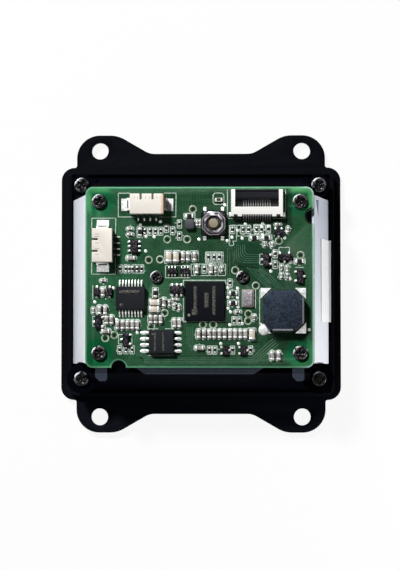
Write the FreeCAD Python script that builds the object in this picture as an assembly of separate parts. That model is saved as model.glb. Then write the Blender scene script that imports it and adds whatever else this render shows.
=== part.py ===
import FreeCAD, Part
import math
import os
from FreeCAD import Vector

# A fixed-mount barcode scan engine that lies on its front face.
# X runs across, Y up the face and Z from the window in front to the circuit board at the back.
# The origin is the middle of the front face. All sizes are in millimetres.

# Small round parts are many-sided prisms with this many sides
round_sides = 16
shank_sides = 12
lens_sides = 24
shortest_edge = 1e-5

# Bezel plate with four ears
plate_width = 61.0
plate_height = 50.8
plate_thickness = 2.0
plate_corner_radius = 2.85
ear_width = 54.3
ear_height = 65.0
ear_corner_radius = 5.0
ear_notch_radius = 0.5
ear_slope_top = 18.2
ear_slope_foot = 11.2
ear_slope_radius = 6.0
ear_foot_radius = 4.0
bridge_height = 56.9
ear_hole_inset_x = 5.05
ear_hole_inset_y = 3.4
ear_hole_radius = 1.85

# Floor and rim inside the bezel
floor_top = 3.0
rim_inset_y = 1.0
rim_wall = 0.9
rim_corner_radius = 2.0

# Window glued into the front of the bezel
window_width = 55.0
window_height = 44.2
window_thickness = 1.4
window_inset = 0.1
window_corner_radius = 1.3
window_clearance = 0.2
adhesive_thickness = 0.15
adhesive_margin = 0.3
aperture_width = 48.0
aperture_height = 37.0
aperture_corner_radius = 1.5

# Screws from the rear frame into the bezel's bosses
frame_screw_offset_x = 2.15
frame_screw_spacing_y = 41.4
frame_boss_radius = 2.3
frame_boss_top = 9.0
lug_thickness = 2.0
lug_radius_upper = 2.4
lug_radius_lower = 3.2
lug_web_width = 3.2
frame_screw_shank_radius = 0.85
frame_screw_head_radius = 1.6
frame_screw_head_height = 1.2
frame_screw_bite = 4.6
screw_hole_clearance = 0.25
thread_clearance = 0.05
pilot_extra_depth = 0.6
frame_screw_turns = (20, 55, 90, 125)

# Circuit board
board_width = 47.8
board_height = 37.85
board_thickness = 1.6
board_corner_radius = 1.6
board_centre_y = 0.6
board_bottom = 18.6
board_screw_spacing_x = 42.0
board_screw_spacing_y = 31.7
board_screw_shank_radius = 0.85
board_screw_head_radius = 1.55
board_screw_head_height = 1.1
board_screw_bite = 4.0
board_screw_turns = (40, 65, 90, 115)
side_notch_radius = 1.57
side_notch_y = 12.8
lower_notch_x = -16.9

# Insulating film between the board and the housing
film_thickness = 0.2
film_margin = 0.4
film_corner_cut = 0.8
film_tab_half_width = 13.4
film_tab_reach = 1.35
film_tab_radius = 1.2
film_tab_slant = 2.0
film_tab_root = 1.0
film_small_tab_inner = 19.4
film_small_tab_outer = 21.9
film_small_tab_reach = 2.8
film_small_tab_cut = 0.9
film_small_tab_bevel = 0.4

# Rear frame: two slanted walls and a tunnel for the camera
frame_half_width = 23.2
frame_wall = 1.2
frame_top_half_height = 19.4
frame_clearance = 0.3
lip_depth = 1.2
tunnel_half_width = 11.8
tunnel_wall = 1.0
tunnel_drop = 0.9
tunnel_floor_gap = 0.35

# Light boxes beside the camera
box_tunnel_gap = 0.4
box_foot = 27.7
box_upper_end = 18.0
box_lower_end = -17.5
box_wall = 1.0
box_end_wall = 1.2
box_flange_height = 1.2
box_top_overhang = 0.2
box_roof = 1.2
box_post_radius = 2.2
box_post_length = 6.0
diffuser_thickness = 1.0
diffuser_clearance = 0.15
diffuser_ledge = 0.5
light_spacing = 7.5
light_count = 4
light_offset_x = 18.6
light_width = 2.8
light_length = 3.5
light_height = 1.9
light_hole_clearance = 0.3

# Blank label on the right light box, its lower edge folded onto the bezel's rim
label_thickness = 0.1
label_low_y = -8.5
label_high_y = 9.2
label_high_z = 11.8
label_flap = 0.55

# Relief groove that narrows down the right light box's wall
groove_x = 24.4
groove_width = 0.75
groove_upper_y = 17.2
groove_lower_y = 13.5
groove_floor_z = 14.0

# Camera hanging under the middle of the board
holder_screw_spacing = 18.0
holder_screw_shank_radius = 0.7
holder_screw_head_radius = 1.35
holder_screw_head_height = 0.9
holder_screw_bite = 2.0
holder_screw_turn = 30
holder_ear_radius = 2.2
holder_ear_height = 2.6
holder_body_size = 12.0
holder_body_height = 7.6
holder_neck_radius = 4.6
holder_neck_height = 2.0
sensor_length = 7.5
sensor_width = 5.6
sensor_height = 1.0
sensor_clearance = 0.4
filter_size = 6.4
filter_thickness = 0.3
filter_gap = 1.5
filter_clearance = 0.1
barrel_radius = 3.5
barrel_bore_radius = 2.0
barrel_thread_length = 4.4
barrel_flange_radius = 4.2
barrel_flange_height = 1.8
barrel_gap = 0.3
barrel_clearance = 0.05
lens_radius = 2.9
lens_edge = 0.6
lens_rise = 0.5
lens_crown_share = 0.25
lens_shoulder_share = 0.6
lens_shoulder_rise_share = 0.64
lens_recess = 1.2

# Aiming light under the lower half of the board
aimer_gap = 1.0
aimer_light_size = 3.0
aimer_light_height = 1.2
aimer_block_width = 6.6
aimer_block_depth = 5.6
aimer_block_height = 7.5
aimer_wall = 0.8
aimer_lens_radius = 2.2
aimer_lens_rise = 0.7
aimer_face = 1.4

# Side-entry wire headers, four ways each
header_length = 7.0
header_depth = 4.2
header_height = 3.6
header_pitch = 1.25
header_ways = 4
header_cavity_half_length = 2.75
header_cavity_depth = 3.2
header_cavity_low = 0.8
header_cavity_high = 2.9
header_slot_width = 0.4
header_slot_offset = 1.23
header_slot_length = 1.25
header_pin_width = 0.32
header_pin_height = 1.55
header_pin_reach = 1.3
header_tail_length = 1.5
header_foot_length = 0.9
header_passage_clearance = 0.02
tab_thickness = 0.25
tab_reach = 1.95
tab_rise = 2.0
tab_half_width = 1.3
tab_setback = 0.4
left_header_x = -20.2
left_header_y = 6.52
top_header_x = -10.93
top_header_y = 15.13

# Flat-cable connector with a flip latch
cable_connector_x = 12.0
cable_connector_y = 15.55
cable_housing_half_width = 5.4
cable_housing_rear = -2.95
cable_housing_front = 2.7
cable_base_thickness = 0.45
cable_housing_height = 2.0
cable_bar_front = -0.95
cable_rail_width = 0.85
cable_contact_count = 12
cable_contact_pitch = 0.5
cable_contact_width = 0.2
cable_contact_thickness = 0.25
cable_contact_front = 1.7
cable_tunnel_height = 0.4
cable_tunnel_clearance = 0.2
cable_tail_length = 1.0
cable_foot_length = 0.6
cable_tab_length = 0.9
cable_tab_width = 0.5
latch_pivot_y = 1.0
latch_pivot_z = 1.5
latch_pin_radius = 0.25
latch_pin_length = 0.35
latch_pin_clearance = 0.05
latch_inner_reach = 0.4
latch_free_edge = 2.6
latch_thickness = 0.7
latch_side_clearance = 0.1
latch_grip_height = 0.15
latch_grip_depth = 0.35

# Push button
button_x = 2.96
button_y = 11.17
button_size = 5.2
button_corner_cut = 0.35
button_base_height = 1.0
button_well_radius = 1.9
button_well_floor = 0.35
button_cover_size = 4.9
button_cover_thickness = 0.25
button_collar_width = 4.0
button_collar_corner = 0.95
button_collar_height = 0.35
button_hole_radius = 1.55
plunger_radius = 1.05
plunger_flange_radius = 1.75
plunger_flange_thickness = 0.28
plunger_top = 2.0
plunger_gap = 0.02
dome_radius = 1.8
dome_rise = 0.3
dome_thickness = 0.06
dome_crown_share = 0.45
button_leg_x = 1.85
button_leg_width = 0.7
button_leg_reach = 3.5
button_leg_thickness = 0.15
button_leg_height = 0.6

# Integrated circuits
processor_x = 1.13
processor_y = -5.05
processor_width = 8.2
processor_depth = 8.1
processor_height = 0.85
processor_standoff = 0.05
processor_pad_inset = 0.5
serial_x = -14.4
serial_y = -4.47
serial_length = 6.2
serial_width = 4.9
serial_height = 1.75
serial_pitch = 0.65
serial_leads_per_side = 8
serial_lead_width = 0.3
serial_span = 7.8
flash_x = -7.95
flash_y = -13.5
flash_length = 4.9
flash_width = 5.2
flash_height = 1.85
flash_pitch = 1.27
flash_leads_per_side = 4
flash_lead_width = 0.42
flash_span = 8.0
chip_body_standoff = 0.1
chip_body_draft = 0.12
lead_thickness = 0.15
lead_foot_length = 0.7

# Crystal, buzzer and power inductor
crystal_x = 10.05
crystal_y = -4.45
crystal_width = 2.5
crystal_length = 3.7
crystal_base_height = 0.55
crystal_lid_inset = 0.3
crystal_lid_height = 0.3
buzzer_x = 17.47
buzzer_y = -7.03
buzzer_size = 8.5
buzzer_height = 3.0
buzzer_chamfer = 1.7
buzzer_standoff = 0.2
buzzer_port_radius = 0.9
buzzer_port_depth = 1.4
buzzer_terminal_half = 4.75
buzzer_terminal_leg = 2.3
buzzer_terminal_thickness = 0.2
inductor_x = -2.1
inductor_y = 11.05
inductor_size = 2.0
inductor_height = 1.2
inductor_chamfer = 0.3

# Chip sizes as length, width and height
small_chip = (1.0, 0.5, 0.35)
medium_chip = (1.6, 0.8, 0.5)
medium_capacitor = (1.6, 0.8, 0.8)
small_capacitor = (1.0, 0.5, 0.5)
large_capacitor = (2.0, 1.25, 1.2)

# Chip places in the board's own frame as x, y and turn in degrees
small_resistor_places = [
    (-16.6, 1.7, 90), (-15.35, 1.7, 90), (-14.65, 1.7, 90), (-14.0, 1.7, 90),
    (-13.05, 1.7, 90), (-12.1, 1.7, 90), (-16.65, -15.2, 90), (-15.35, -15.2, 90),
    (-14.05, -15.2, 90), (1.9, 4.15, 90), (3.05, 4.15, 90), (4.15, 4.15, 90),
    (1.0, 1.65, 90), (6.38, -1.25, 90), (2.1, -15.25, 90), (3.2, -15.25, 90),
    (6.9, -15.25, 90), (10.65, -15.25, 90), (6.9, 9.9, 90), (9.1, 9.9, 90),
    (10.3, 9.9, 90), (11.9, 9.9, 90), (12.9, 9.9, 90), (14.4, 10.0, 90),
    (7.2, -9.15, 90), (8.35, -9.15, 90), (15.8, 4.85, 90), (15.8, 2.6, 90),
    (-4.15, 8.6, 90), (-4.2, 11.1, 90), (-11.4, 9.6, 90), (-10.3, 9.6, 90),
    (-9.2, 9.6, 90), (-8.1, 9.6, 90), (-6.9, 10.2, 90), (-5.6, 9.7, 90),
]
medium_resistor_places = [
    (-12.45, 9.45, 90), (-2.1, 12.75, 0), (7.05, -3.4, 0), (7.05, -5.45, 0),
    (11.5, 8.2, 0), (14.0, 8.2, 0), (20.9, 3.3, 0), (-9.2, -3.35, 90),
]
small_capacitor_places = [
    (-20.1, -0.75, 0), (3.35, 1.5, 90), (4.65, 1.65, 90), (-0.55, 11.3, 90),
    (0.1, 11.3, 90), (13.6, 6.95, 90), (15.2, 6.75, 90), (17.15, 2.0, 90),
    (18.3, 1.75, 90), (17.1, 0.35, 90), (18.3, 0.2, 90), (8.0, -7.3, 0),
    (11.45, -8.5, 90), (-14.55, 10.1, 0), (-14.55, 8.9, 0), (-5.1, -4.65, 0),
    (-6.3, -5.5, 90), (-5.2, -6.1, 90), (-4.3, -6.4, 90), (-22.2, -7.0, 90),
    (16.4, 11.0, 0), (18.5, 9.9, 90),
]
medium_capacitor_places = [
    (-0.2, -11.9, 90), (0.95, -11.9, 90), (2.05, -11.9, 90), (3.1, -11.9, 90),
    (4.2, -11.9, 90), (5.25, -11.9, 90), (6.4, -11.9, 90), (7.45, -11.9, 90),
    (8.55, -11.9, 90), (9.55, -11.9, 90), (-17.15, -10.0, 90), (-16.05, -10.0, 90),
    (-15.0, -10.0, 90), (-14.0, -10.0, 90), (-13.0, -10.0, 90), (15.15, -16.4, 90),
    (16.45, -16.4, 90), (-10.2, -8.8, 90), (-9.15, -8.8, 90), (-8.1, -8.8, 90),
    (-5.25, -9.6, 90), (-4.2, -9.6, 90), (-3.45, 4.3, 90), (-2.4, 4.3, 90),
    (-1.0, 4.3, 90), (-0.6, 1.6, 90), (2.4, 1.65, 90), (-19.45, -8.95, 90),
    (-18.35, -8.95, 90), (-20.9, -6.9, 90), (-19.7, -6.9, 90), (-19.6, -11.3, 0),
    (-14.3, 4.0, 0), (0.0, -14.8, 0), (-7.4, -5.3, 90), (-20.2, -3.1, 90),
]
large_capacitor_places = [
    (10.95, -12.0, 90), (-6.45, 4.2, 90), (-4.9, 4.2, 90), (-9.35, -5.3, 0),
    (-9.45, -6.75, 0),
]

# Small transistors: body, lead pitch and lead span, then places as x, y and turn
transistor_body = (1.3, 2.9, 1.05)
transistor_pitch = 1.9
transistor_span = 2.4
transistor_lead_width = 0.42
tiny_transistor_body = (1.25, 2.0, 0.95)
tiny_transistor_pitch = 1.3
tiny_transistor_span = 2.1
transistor_places = [(-21.2, -9.35, 0), (-15.4, -13.0, 0), (13.9, 3.65, 0), (20.95, 0.15, 180),
                     (17.75, 4.1, 90)]
tiny_transistor_places = [(5.4, -15.3, 180), (9.15, -15.3, 180), (16.5, 9.3, 90)]

# Small logic chips with three leads a side
logic_body = (1.25, 2.0, 0.95)
logic_pitch = 0.65
logic_span = 2.1
logic_lead_width = 0.25
logic_places = [(-5.75, 1.2, 90), (-3.1, 1.2, 90)]
regulator_body = (1.6, 2.9, 1.1)
regulator_pitch = 0.95
regulator_span = 2.8
regulator_lead_width = 0.4
regulator_places = [(-13.65, 6.45, 0), (-4.75, -2.7, 90)]
small_lead_foot = 0.3
small_chip_leads_per_side = 3

# Diodes with flat end terminals
diode_body = (1.25, 1.7, 0.9)
diode_span = 2.6
diode_terminal_width = 0.45
diode_places = [(-21.5, -3.1, 90), (-18.8, -3.1, 90)]

# Indicator light
indicator_x = 4.0
indicator_y = 16.15
indicator_size = (1.6, 0.8, 0.6)

# Screw recess shared by every screw
recess_slot_width = 0.32
recess_depth_share = 0.6
recess_length_share = 1.2
head_chamfer_share = 0.35

# Derived heights and places
box_flange_top = floor_top + box_flange_height
rim_top = box_flange_top
board_top = board_bottom + board_thickness
housing_top = board_bottom - film_thickness
pocket_depth = window_inset + window_thickness + adhesive_thickness
box_inner_side = tunnel_half_width + tunnel_wall + box_tunnel_gap
rim_inner_x = box_foot + frame_clearance
rim_outer_x = rim_inner_x + rim_wall
rim_outer_y = plate_height / 2 - rim_inset_y
rim_inner_y = rim_outer_y - rim_wall
ear_hole_spacing_x = ear_width - 2 * ear_hole_inset_x
ear_hole_spacing_y = ear_height - 2 * ear_hole_inset_y
frame_screw_x = frame_half_width + frame_screw_offset_x
frame_screw_y = frame_screw_spacing_y / 2
frame_screw_spacing_x = 2 * frame_screw_x
lug_top = frame_boss_top + lug_thickness
frame_foot = rim_inner_y - frame_clearance
box_top_edge = board_width / 2 + box_top_overhang
board_lower_edge = board_centre_y - board_height / 2
diffuser_top = floor_top + diffuser_thickness
aimer_offset_y = -(holder_body_size / 2 + aimer_gap + aimer_block_depth / 2)


def box(x0, x1, y0, y1, z0, z1):
    """Block between two opposite corners."""
    return Part.makeBox(x1 - x0, y1 - y0, z1 - z0, Vector(x0, y0, z0))


def centred_box(x, y, length, width, z0, z1):
    """Block standing over a point of the XY plane."""
    return box(x - length / 2, x + length / 2, y - width / 2, y + width / 2, z0, z1)


def cylinder(x, y, radius, z0, z1):
    """Upright cylinder over a point of the XY plane."""
    return Part.makeCylinder(radius, z1 - z0, Vector(x, y, z0))


def ring_points(radius, sides, z=0.0):
    """Closed ring of the corners of a regular polygon about the Z axis."""
    step = 2 * math.pi / sides
    ring = [Vector(radius * math.cos(step * (side + 0.5)), radius * math.sin(step * (side + 0.5)), z)
            for side in range(sides)]
    return ring + ring[:1]


def rod(x, y, radius, z0, z1, sides=round_sides):
    """Upright many-sided rod whose corners lie on the radius."""
    face = Part.Face(Part.makePolygon(ring_points(radius, sides, z0)))
    return placed(face.extrude(Vector(0, 0, z1 - z0)), x, y, 0)


def bore(x, y, radius, z0, z1, sides=round_sides):
    """Upright many-sided cutter whose flats lie on the radius, so that a rod of that radius fits in it."""
    return rod(x, y, radius / math.cos(math.pi / sides), z0, z1, sides)


def stacked(rings, sides=round_sides):
    """Many-sided body whose flat faces run between rings given as radius and height."""
    loops = [ring_points(radius, sides, z) for radius, z in rings]
    faces = [Part.Face(Part.makePolygon(loops[0])), Part.Face(Part.makePolygon(loops[-1]))]
    for low, high in zip(loops, loops[1:]):
        for side in range(sides):
            corners = [low[side], low[side + 1], high[side + 1], high[side], low[side]]
            faces.append(Part.Face(Part.makePolygon(corners)))
    body = Part.Solid(Part.Shell(faces))
    if body.Volume < 0:
        body.reverse()
    return body


def rounded_wire(corners):
    """Closed wire through corners given as x, y and radius, with straight runs between the arcs."""
    count = len(corners)
    arcs = []
    for index in range(count):
        x, y, radius = corners[index]
        here = Vector(x, y, 0)
        to_last = (Vector(corners[index - 1][0], corners[index - 1][1], 0) - here).normalize()
        following = corners[(index + 1) % count]
        to_next = (Vector(following[0], following[1], 0) - here).normalize()
        if radius == 0:
            arcs.append((here, None, here))
            continue
        half_angle = to_last.getAngle(to_next) / 2
        run = radius / math.tan(half_angle)
        centre = here + (to_last + to_next).normalize() * (radius / math.sin(half_angle))
        middle = centre + (here - centre).normalize() * radius
        arcs.append((here + to_last * run, middle, here + to_next * run))
    edges = []
    for index in range(count):
        start, middle, end = arcs[index]
        if middle is not None:
            edges.append(Part.Arc(start, middle, end).toShape())
        next_start = arcs[(index + 1) % count][0]
        if (next_start - end).Length > shortest_edge:
            edges.append(Part.LineSegment(end, next_start).toShape())
    return Part.Wire(edges)


def slab(corners, z0, z1):
    """Flat plate with rounded corners."""
    face = Part.Face(rounded_wire(corners))
    face.translate(Vector(0, 0, z0))
    return face.extrude(Vector(0, 0, z1 - z0))


def rectangle(half_x, half_y, radius):
    """Corners of a rectangle about the origin."""
    return [(half_x, half_y, radius), (-half_x, half_y, radius),
            (-half_x, -half_y, radius), (half_x, -half_y, radius)]


def cut_rectangle(half_x, half_y, cut):
    """Outline of a rectangle about the origin with its corners cut off."""
    near_x = half_x - cut
    near_y = half_y - cut
    return [(half_x, near_y, 0), (near_x, half_y, 0), (-near_x, half_y, 0), (-half_x, near_y, 0),
            (-half_x, -near_y, 0), (-near_x, -half_y, 0), (near_x, -half_y, 0), (half_x, -near_y, 0)]


def prism_along_y(points, y0, y1):
    """Prism whose section is given as x and z."""
    wire = Part.makePolygon([Vector(x, y0, z) for x, z in points + points[:1]])
    return Part.Face(wire).extrude(Vector(0, y1 - y0, 0))


def prism_along_x(points, x0, x1):
    """Prism whose section is given as y and z."""
    wire = Part.makePolygon([Vector(x0, y, z) for y, z in points + points[:1]])
    return Part.Face(wire).extrude(Vector(x1 - x0, 0, 0))


def turned(points):
    """Body turned about the Z axis from a section given as radius and height."""
    wire = Part.makePolygon([Vector(radius, 0, z) for radius, z in points + points[:1]])
    return Part.Face(wire).revolve(Vector(0, 0, 0), Vector(0, 0, 1), 360)


def joined(shapes):
    """One solid out of several that touch or overlap."""
    whole = shapes[0].fuse(shapes[1:]) if len(shapes) > 1 else shapes[0]
    return whole.removeSplitter()


def mirrored_x(shape):
    """Copy on the other side of the YZ plane."""
    return shape.mirror(Vector(0, 0, 0), Vector(1, 0, 0))


def placed(shape, x, y, z, turn=0):
    """Copy turned about Z and then moved."""
    copy = shape.copy()
    copy.rotate(Vector(0, 0, 0), Vector(0, 0, 1), turn)
    copy.translate(Vector(x, y, z))
    return copy


def on_board(shape, x, y, turn=0):
    """Copy standing on the board's rear face at a place in the board's own frame."""
    return placed(shape, x, board_centre_y + y, board_top, turn)


def save(node, solids):
    """Write one node's solids to its own file."""
    shape = solids[0] if len(solids) == 1 else Part.makeCompound(solids)
    shape.exportStep("parts/" + node + ".step")


def corner_points(spacing_x, spacing_y, centre_y=0.0):
    """Centres of a four-point pattern."""
    return [(side_x * spacing_x / 2, centre_y + side_y * spacing_y / 2)
            for side_x in (-1, 1) for side_y in (-1, 1)]


def bezel_corners():
    """Outline of the plate with its bridges and ears, counter-clockwise."""
    quarter = [
        (plate_width / 2, plate_height / 2, plate_corner_radius),
        (ear_width / 2, plate_height / 2, ear_notch_radius),
        (ear_width / 2, ear_height / 2, ear_corner_radius),
        (ear_slope_top, ear_height / 2, ear_slope_radius),
        (ear_slope_foot, bridge_height / 2, ear_foot_radius),
    ]
    upper_left = [(-x, y, radius) for x, y, radius in reversed(quarter)]
    lower_left = [(-x, -y, radius) for x, y, radius in quarter]
    lower_right = [(x, -y, radius) for x, y, radius in reversed(quarter)]
    return quarter + upper_left + lower_left + lower_right


def front_bezel():
    """Moulded plate with ears, window pocket, floor, rim and four screw bosses."""
    plate = slab(bezel_corners(), 0, plate_thickness)
    floor = slab(rectangle(rim_outer_x, rim_outer_y, rim_corner_radius), 0, floor_top)
    rim = slab(rectangle(rim_outer_x, rim_outer_y, rim_corner_radius), floor_top, rim_top)
    rim_hollow = slab(rectangle(rim_inner_x, rim_inner_y, 0), floor_top, rim_top)
    rim = rim.cut(rim_hollow)
    bosses = []
    for x, y in corner_points(frame_screw_spacing_x, frame_screw_spacing_y):
        bosses.append(rod(x, y, frame_boss_radius, 0, frame_boss_top, lens_sides))
    body = joined([plate, floor, rim] + bosses)
    pocket = slab(rectangle(window_width / 2 + window_clearance, window_height / 2 + window_clearance,
                            window_corner_radius + window_clearance), 0, pocket_depth)
    aperture = slab(rectangle(aperture_width / 2, aperture_height / 2, aperture_corner_radius), 0, floor_top)
    cuts = [pocket, aperture]
    pilot_depth = frame_screw_bite + pilot_extra_depth
    for x, y in corner_points(frame_screw_spacing_x, frame_screw_spacing_y):
        radius = frame_screw_shank_radius + thread_clearance
        cuts.append(bore(x, y, radius, frame_boss_top - pilot_depth, frame_boss_top, shank_sides))
    for x, y in corner_points(ear_hole_spacing_x, ear_hole_spacing_y):
        cuts.append(cylinder(x, y, ear_hole_radius, 0, rim_top))
    return body.cut(cuts)


def window():
    """Clear pane in the front pocket."""
    return slab(rectangle(window_width / 2, window_height / 2, window_corner_radius),
                window_inset, window_inset + window_thickness)


def window_adhesive():
    """Thin tape frame between the pane and the ledge round the aperture."""
    half_x = window_width / 2 - adhesive_margin
    half_y = window_height / 2 - adhesive_margin
    tape_bottom = pocket_depth - adhesive_thickness
    outer = centred_box(0, 0, 2 * half_x, 2 * half_y, tape_bottom, pocket_depth)
    opening_x = aperture_width + 2 * adhesive_margin
    opening_y = aperture_height + 2 * adhesive_margin
    inner = centred_box(0, 0, opening_x, opening_y, tape_bottom, pocket_depth)
    return outer.cut(inner)


def frame_outer(z):
    """Distance of the slanted wall's outer face from the middle at a height."""
    share = (z - floor_top) / (housing_top - floor_top)
    return frame_foot + (frame_top_half_height - frame_foot) * share


def slanted_wall(side, lip_edge):
    """One slanted wall with its lip under the board and a web at each end."""
    lip_low = housing_top - lip_depth
    section = [
        (side * frame_foot, floor_top),
        (side * frame_top_half_height, housing_top),
        (side * lip_edge, housing_top),
        (side * lip_edge, lip_low),
        (side * (frame_outer(lip_low) - frame_wall), lip_low),
        (side * (frame_foot - frame_wall), floor_top),
    ]
    wall = prism_along_x(section, -frame_half_width, frame_half_width)
    web_section = [
        (side * frame_foot, floor_top),
        (side * frame_top_half_height, housing_top),
        (side * lip_edge, housing_top),
        (side * lip_edge, floor_top),
    ]
    web = prism_along_x(web_section, frame_half_width - frame_wall, frame_half_width)
    return [wall, web, mirrored_x(web)]


def frame_lugs():
    """Four round lugs that sit on the bezel's bosses, each tied to the frame's end by a web."""
    lugs = []
    for x, y in corner_points(frame_screw_spacing_x, frame_screw_spacing_y):
        radius = lug_radius_upper if y > 0 else lug_radius_lower
        lugs.append(rod(x, y, radius, frame_boss_top, lug_top, lens_sides))
        inner = math.copysign(frame_half_width - frame_wall, x)
        low_x, high_x = min(x, inner), max(x, inner)
        lugs.append(box(low_x, high_x, y - lug_web_width / 2, y + lug_web_width / 2, frame_boss_top, lug_top))
    return lugs


def rear_frame():
    """Moulded frame between bezel and board: slanted walls, camera tunnel and screw lugs."""
    pieces = slanted_wall(1, box_upper_end + frame_clearance)
    pieces += slanted_wall(-1, -box_lower_end + frame_clearance)
    tunnel_section = [
        (-frame_foot + frame_wall / 2, floor_top),
        (frame_foot - frame_wall / 2, floor_top),
        (frame_outer(housing_top - tunnel_drop) - frame_wall / 2, housing_top - tunnel_drop),
        (-frame_outer(housing_top - tunnel_drop) + frame_wall / 2, housing_top - tunnel_drop),
    ]
    tunnel_wall_upper = prism_along_x(tunnel_section, tunnel_half_width, tunnel_half_width + tunnel_wall)
    skirt_end = aperture_height / 2 - frame_clearance
    skirt = box(tunnel_half_width, tunnel_half_width + tunnel_wall, -skirt_end, skirt_end,
                pocket_depth + tunnel_floor_gap, floor_top)
    pieces += [tunnel_wall_upper, mirrored_x(tunnel_wall_upper), skirt, mirrored_x(skirt)]
    pieces += frame_lugs()
    body = joined(pieces)
    holes = []
    for x, y in corner_points(frame_screw_spacing_x, frame_screw_spacing_y):
        radius = frame_screw_shank_radius + screw_hole_clearance
        holes.append(bore(x, y, radius, frame_boss_top, lug_top, shank_sides))
    boss_room = []
    for x, y in corner_points(frame_screw_spacing_x, frame_screw_spacing_y):
        boss_room.append(bore(x, y, frame_boss_radius + frame_clearance, floor_top, frame_boss_top))
    return body.cut(holes + boss_room)


def light_places(side):
    """Centres of the lights on one side of the camera, in the shared frame."""
    middle = (box_upper_end + box_lower_end) / 2
    first = middle - light_spacing * (light_count - 1) / 2
    return [(side * light_offset_x, first + light_spacing * step) for step in range(light_count)]


def box_section(wall):
    """Section of the right light box as x and z, drawn in by a wall thickness."""
    if wall == 0:
        return [(box_inner_side, floor_top), (box_foot, floor_top), (box_foot, box_flange_top),
                (box_top_edge, housing_top), (box_inner_side, housing_top)]
    return [(box_inner_side + wall, floor_top), (box_foot - wall, floor_top), (box_foot - wall, box_flange_top),
            (box_top_edge - wall, housing_top - box_roof), (box_inner_side + wall, housing_top - box_roof)]


def wall_groove():
    """Three-sided relief that narrows towards the middle of the wall."""
    outer_x = groove_x + groove_width
    corners = [(outer_x, groove_lower_y, 0), (outer_x, groove_upper_y, 0), (groove_x, groove_upper_y, 0)]
    return slab(corners, groove_floor_z, housing_top)


def light_box():
    """White tray on the right with a flared outer wall, light openings in its roof and two screw posts."""
    shell = prism_along_y(box_section(0), box_lower_end, box_upper_end)
    hollow = prism_along_y(box_section(box_wall), box_lower_end + box_end_wall, box_upper_end - box_end_wall)
    shell = shell.cut(hollow)
    posts = []
    for x, y in corner_points(board_screw_spacing_x, board_screw_spacing_y, board_centre_y):
        if x > 0:
            posts.append(rod(x, y, box_post_radius, housing_top - box_post_length, housing_top))
    body = joined([shell] + posts)
    outside = prism_along_y(box_section(0), box_lower_end, box_upper_end)
    body = body.common(outside)
    cuts = []
    ledge = box_wall - diffuser_ledge
    cuts.append(box(box_inner_side + ledge, box_foot - ledge, box_lower_end + ledge, box_upper_end - ledge,
                    floor_top, diffuser_top))
    for x, y in light_places(1):
        cuts.append(centred_box(x, y, light_width + 2 * light_hole_clearance,
                                light_length + 2 * light_hole_clearance, housing_top - box_roof, housing_top))
    for x, y in corner_points(board_screw_spacing_x, board_screw_spacing_y, board_centre_y):
        if x > 0:
            radius = board_screw_shank_radius + thread_clearance
            depth = board_screw_bite + pilot_extra_depth
            cuts.append(bore(x, y, radius, housing_top - depth, housing_top, shank_sides))
    lug_room = lug_radius_lower + frame_clearance
    cuts.append(bore(frame_screw_x, -frame_screw_y, lug_room, frame_boss_top - frame_clearance, housing_top,
                     lens_sides))
    return body.cut(cuts)


def diffuser_right():
    """Milky sheet seated in the tray's front step."""
    inset = box_wall - diffuser_ledge + diffuser_clearance
    return box(box_inner_side + inset, box_foot - inset, box_lower_end + inset, box_upper_end - inset,
               floor_top, diffuser_top)


def rating_label():
    """Blank label down the slanted wall of the right light box and over onto the rim."""
    slope = (box_top_edge - box_foot) / (housing_top - box_flange_top)
    high_x = box_foot + slope * (label_high_z - box_flange_top)
    flap_end = box_foot + label_flap
    length = math.hypot(high_x - box_foot, label_high_z - box_flange_top)
    out_x = (label_high_z - box_flange_top) / length * label_thickness
    out_z = (box_foot - high_x) / length * label_thickness
    fold_x = box_foot + out_x + slope * (label_thickness - out_z)
    fold_z = box_flange_top + label_thickness
    section = [(box_foot, box_flange_top), (flap_end, box_flange_top), (flap_end, fold_z), (fold_x, fold_z),
               (high_x + out_x, label_high_z + out_z), (high_x, label_high_z)]
    return prism_along_y(section, label_low_y, label_high_y)


def screw(shank_radius, shank_length, head_radius, head_height):
    """Pan-head screw with a cross recess, the underside of its head at height zero."""
    chamfer = head_height * head_chamfer_share
    shank = rod(0, 0, shank_radius, -shank_length, 0, shank_sides)
    head = stacked([(head_radius, 0), (head_radius, head_height - chamfer),
                    (head_radius - chamfer, head_height)])
    body = joined([shank, head])
    half_slot = recess_slot_width / 2
    reach = head_radius * recess_length_share / 2
    depth = head_height * recess_depth_share
    long_way = box(-reach, reach, -half_slot, half_slot, head_height - depth, head_height)
    cross_way = box(-half_slot, half_slot, -reach, reach, head_height - depth, head_height)
    return body.cut([long_way, cross_way])


def frame_screws():
    """Four screws through the lugs into the bosses."""
    one = screw(frame_screw_shank_radius, lug_thickness + frame_screw_bite,
                frame_screw_head_radius, frame_screw_head_height)
    places = corner_points(frame_screw_spacing_x, frame_screw_spacing_y)
    return [placed(one, x, y, lug_top, turn) for (x, y), turn in zip(places, frame_screw_turns)]


def board_screws():
    """Four screws through the board into the light boxes."""
    length = board_thickness + film_thickness + board_screw_bite
    one = screw(board_screw_shank_radius, length, board_screw_head_radius, board_screw_head_height)
    places = corner_points(board_screw_spacing_x, board_screw_spacing_y, board_centre_y)
    return [placed(one, x, y, board_top, turn) for (x, y), turn in zip(places, board_screw_turns)]


def holder_screws():
    """Two screws through the board into the camera holder's ears."""
    length = board_thickness + holder_screw_bite
    one = screw(holder_screw_shank_radius, length, holder_screw_head_radius, holder_screw_head_height)
    return [placed(one, side * holder_screw_spacing / 2, board_centre_y, board_top, side * holder_screw_turn)
            for side in (-1, 1)]


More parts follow.
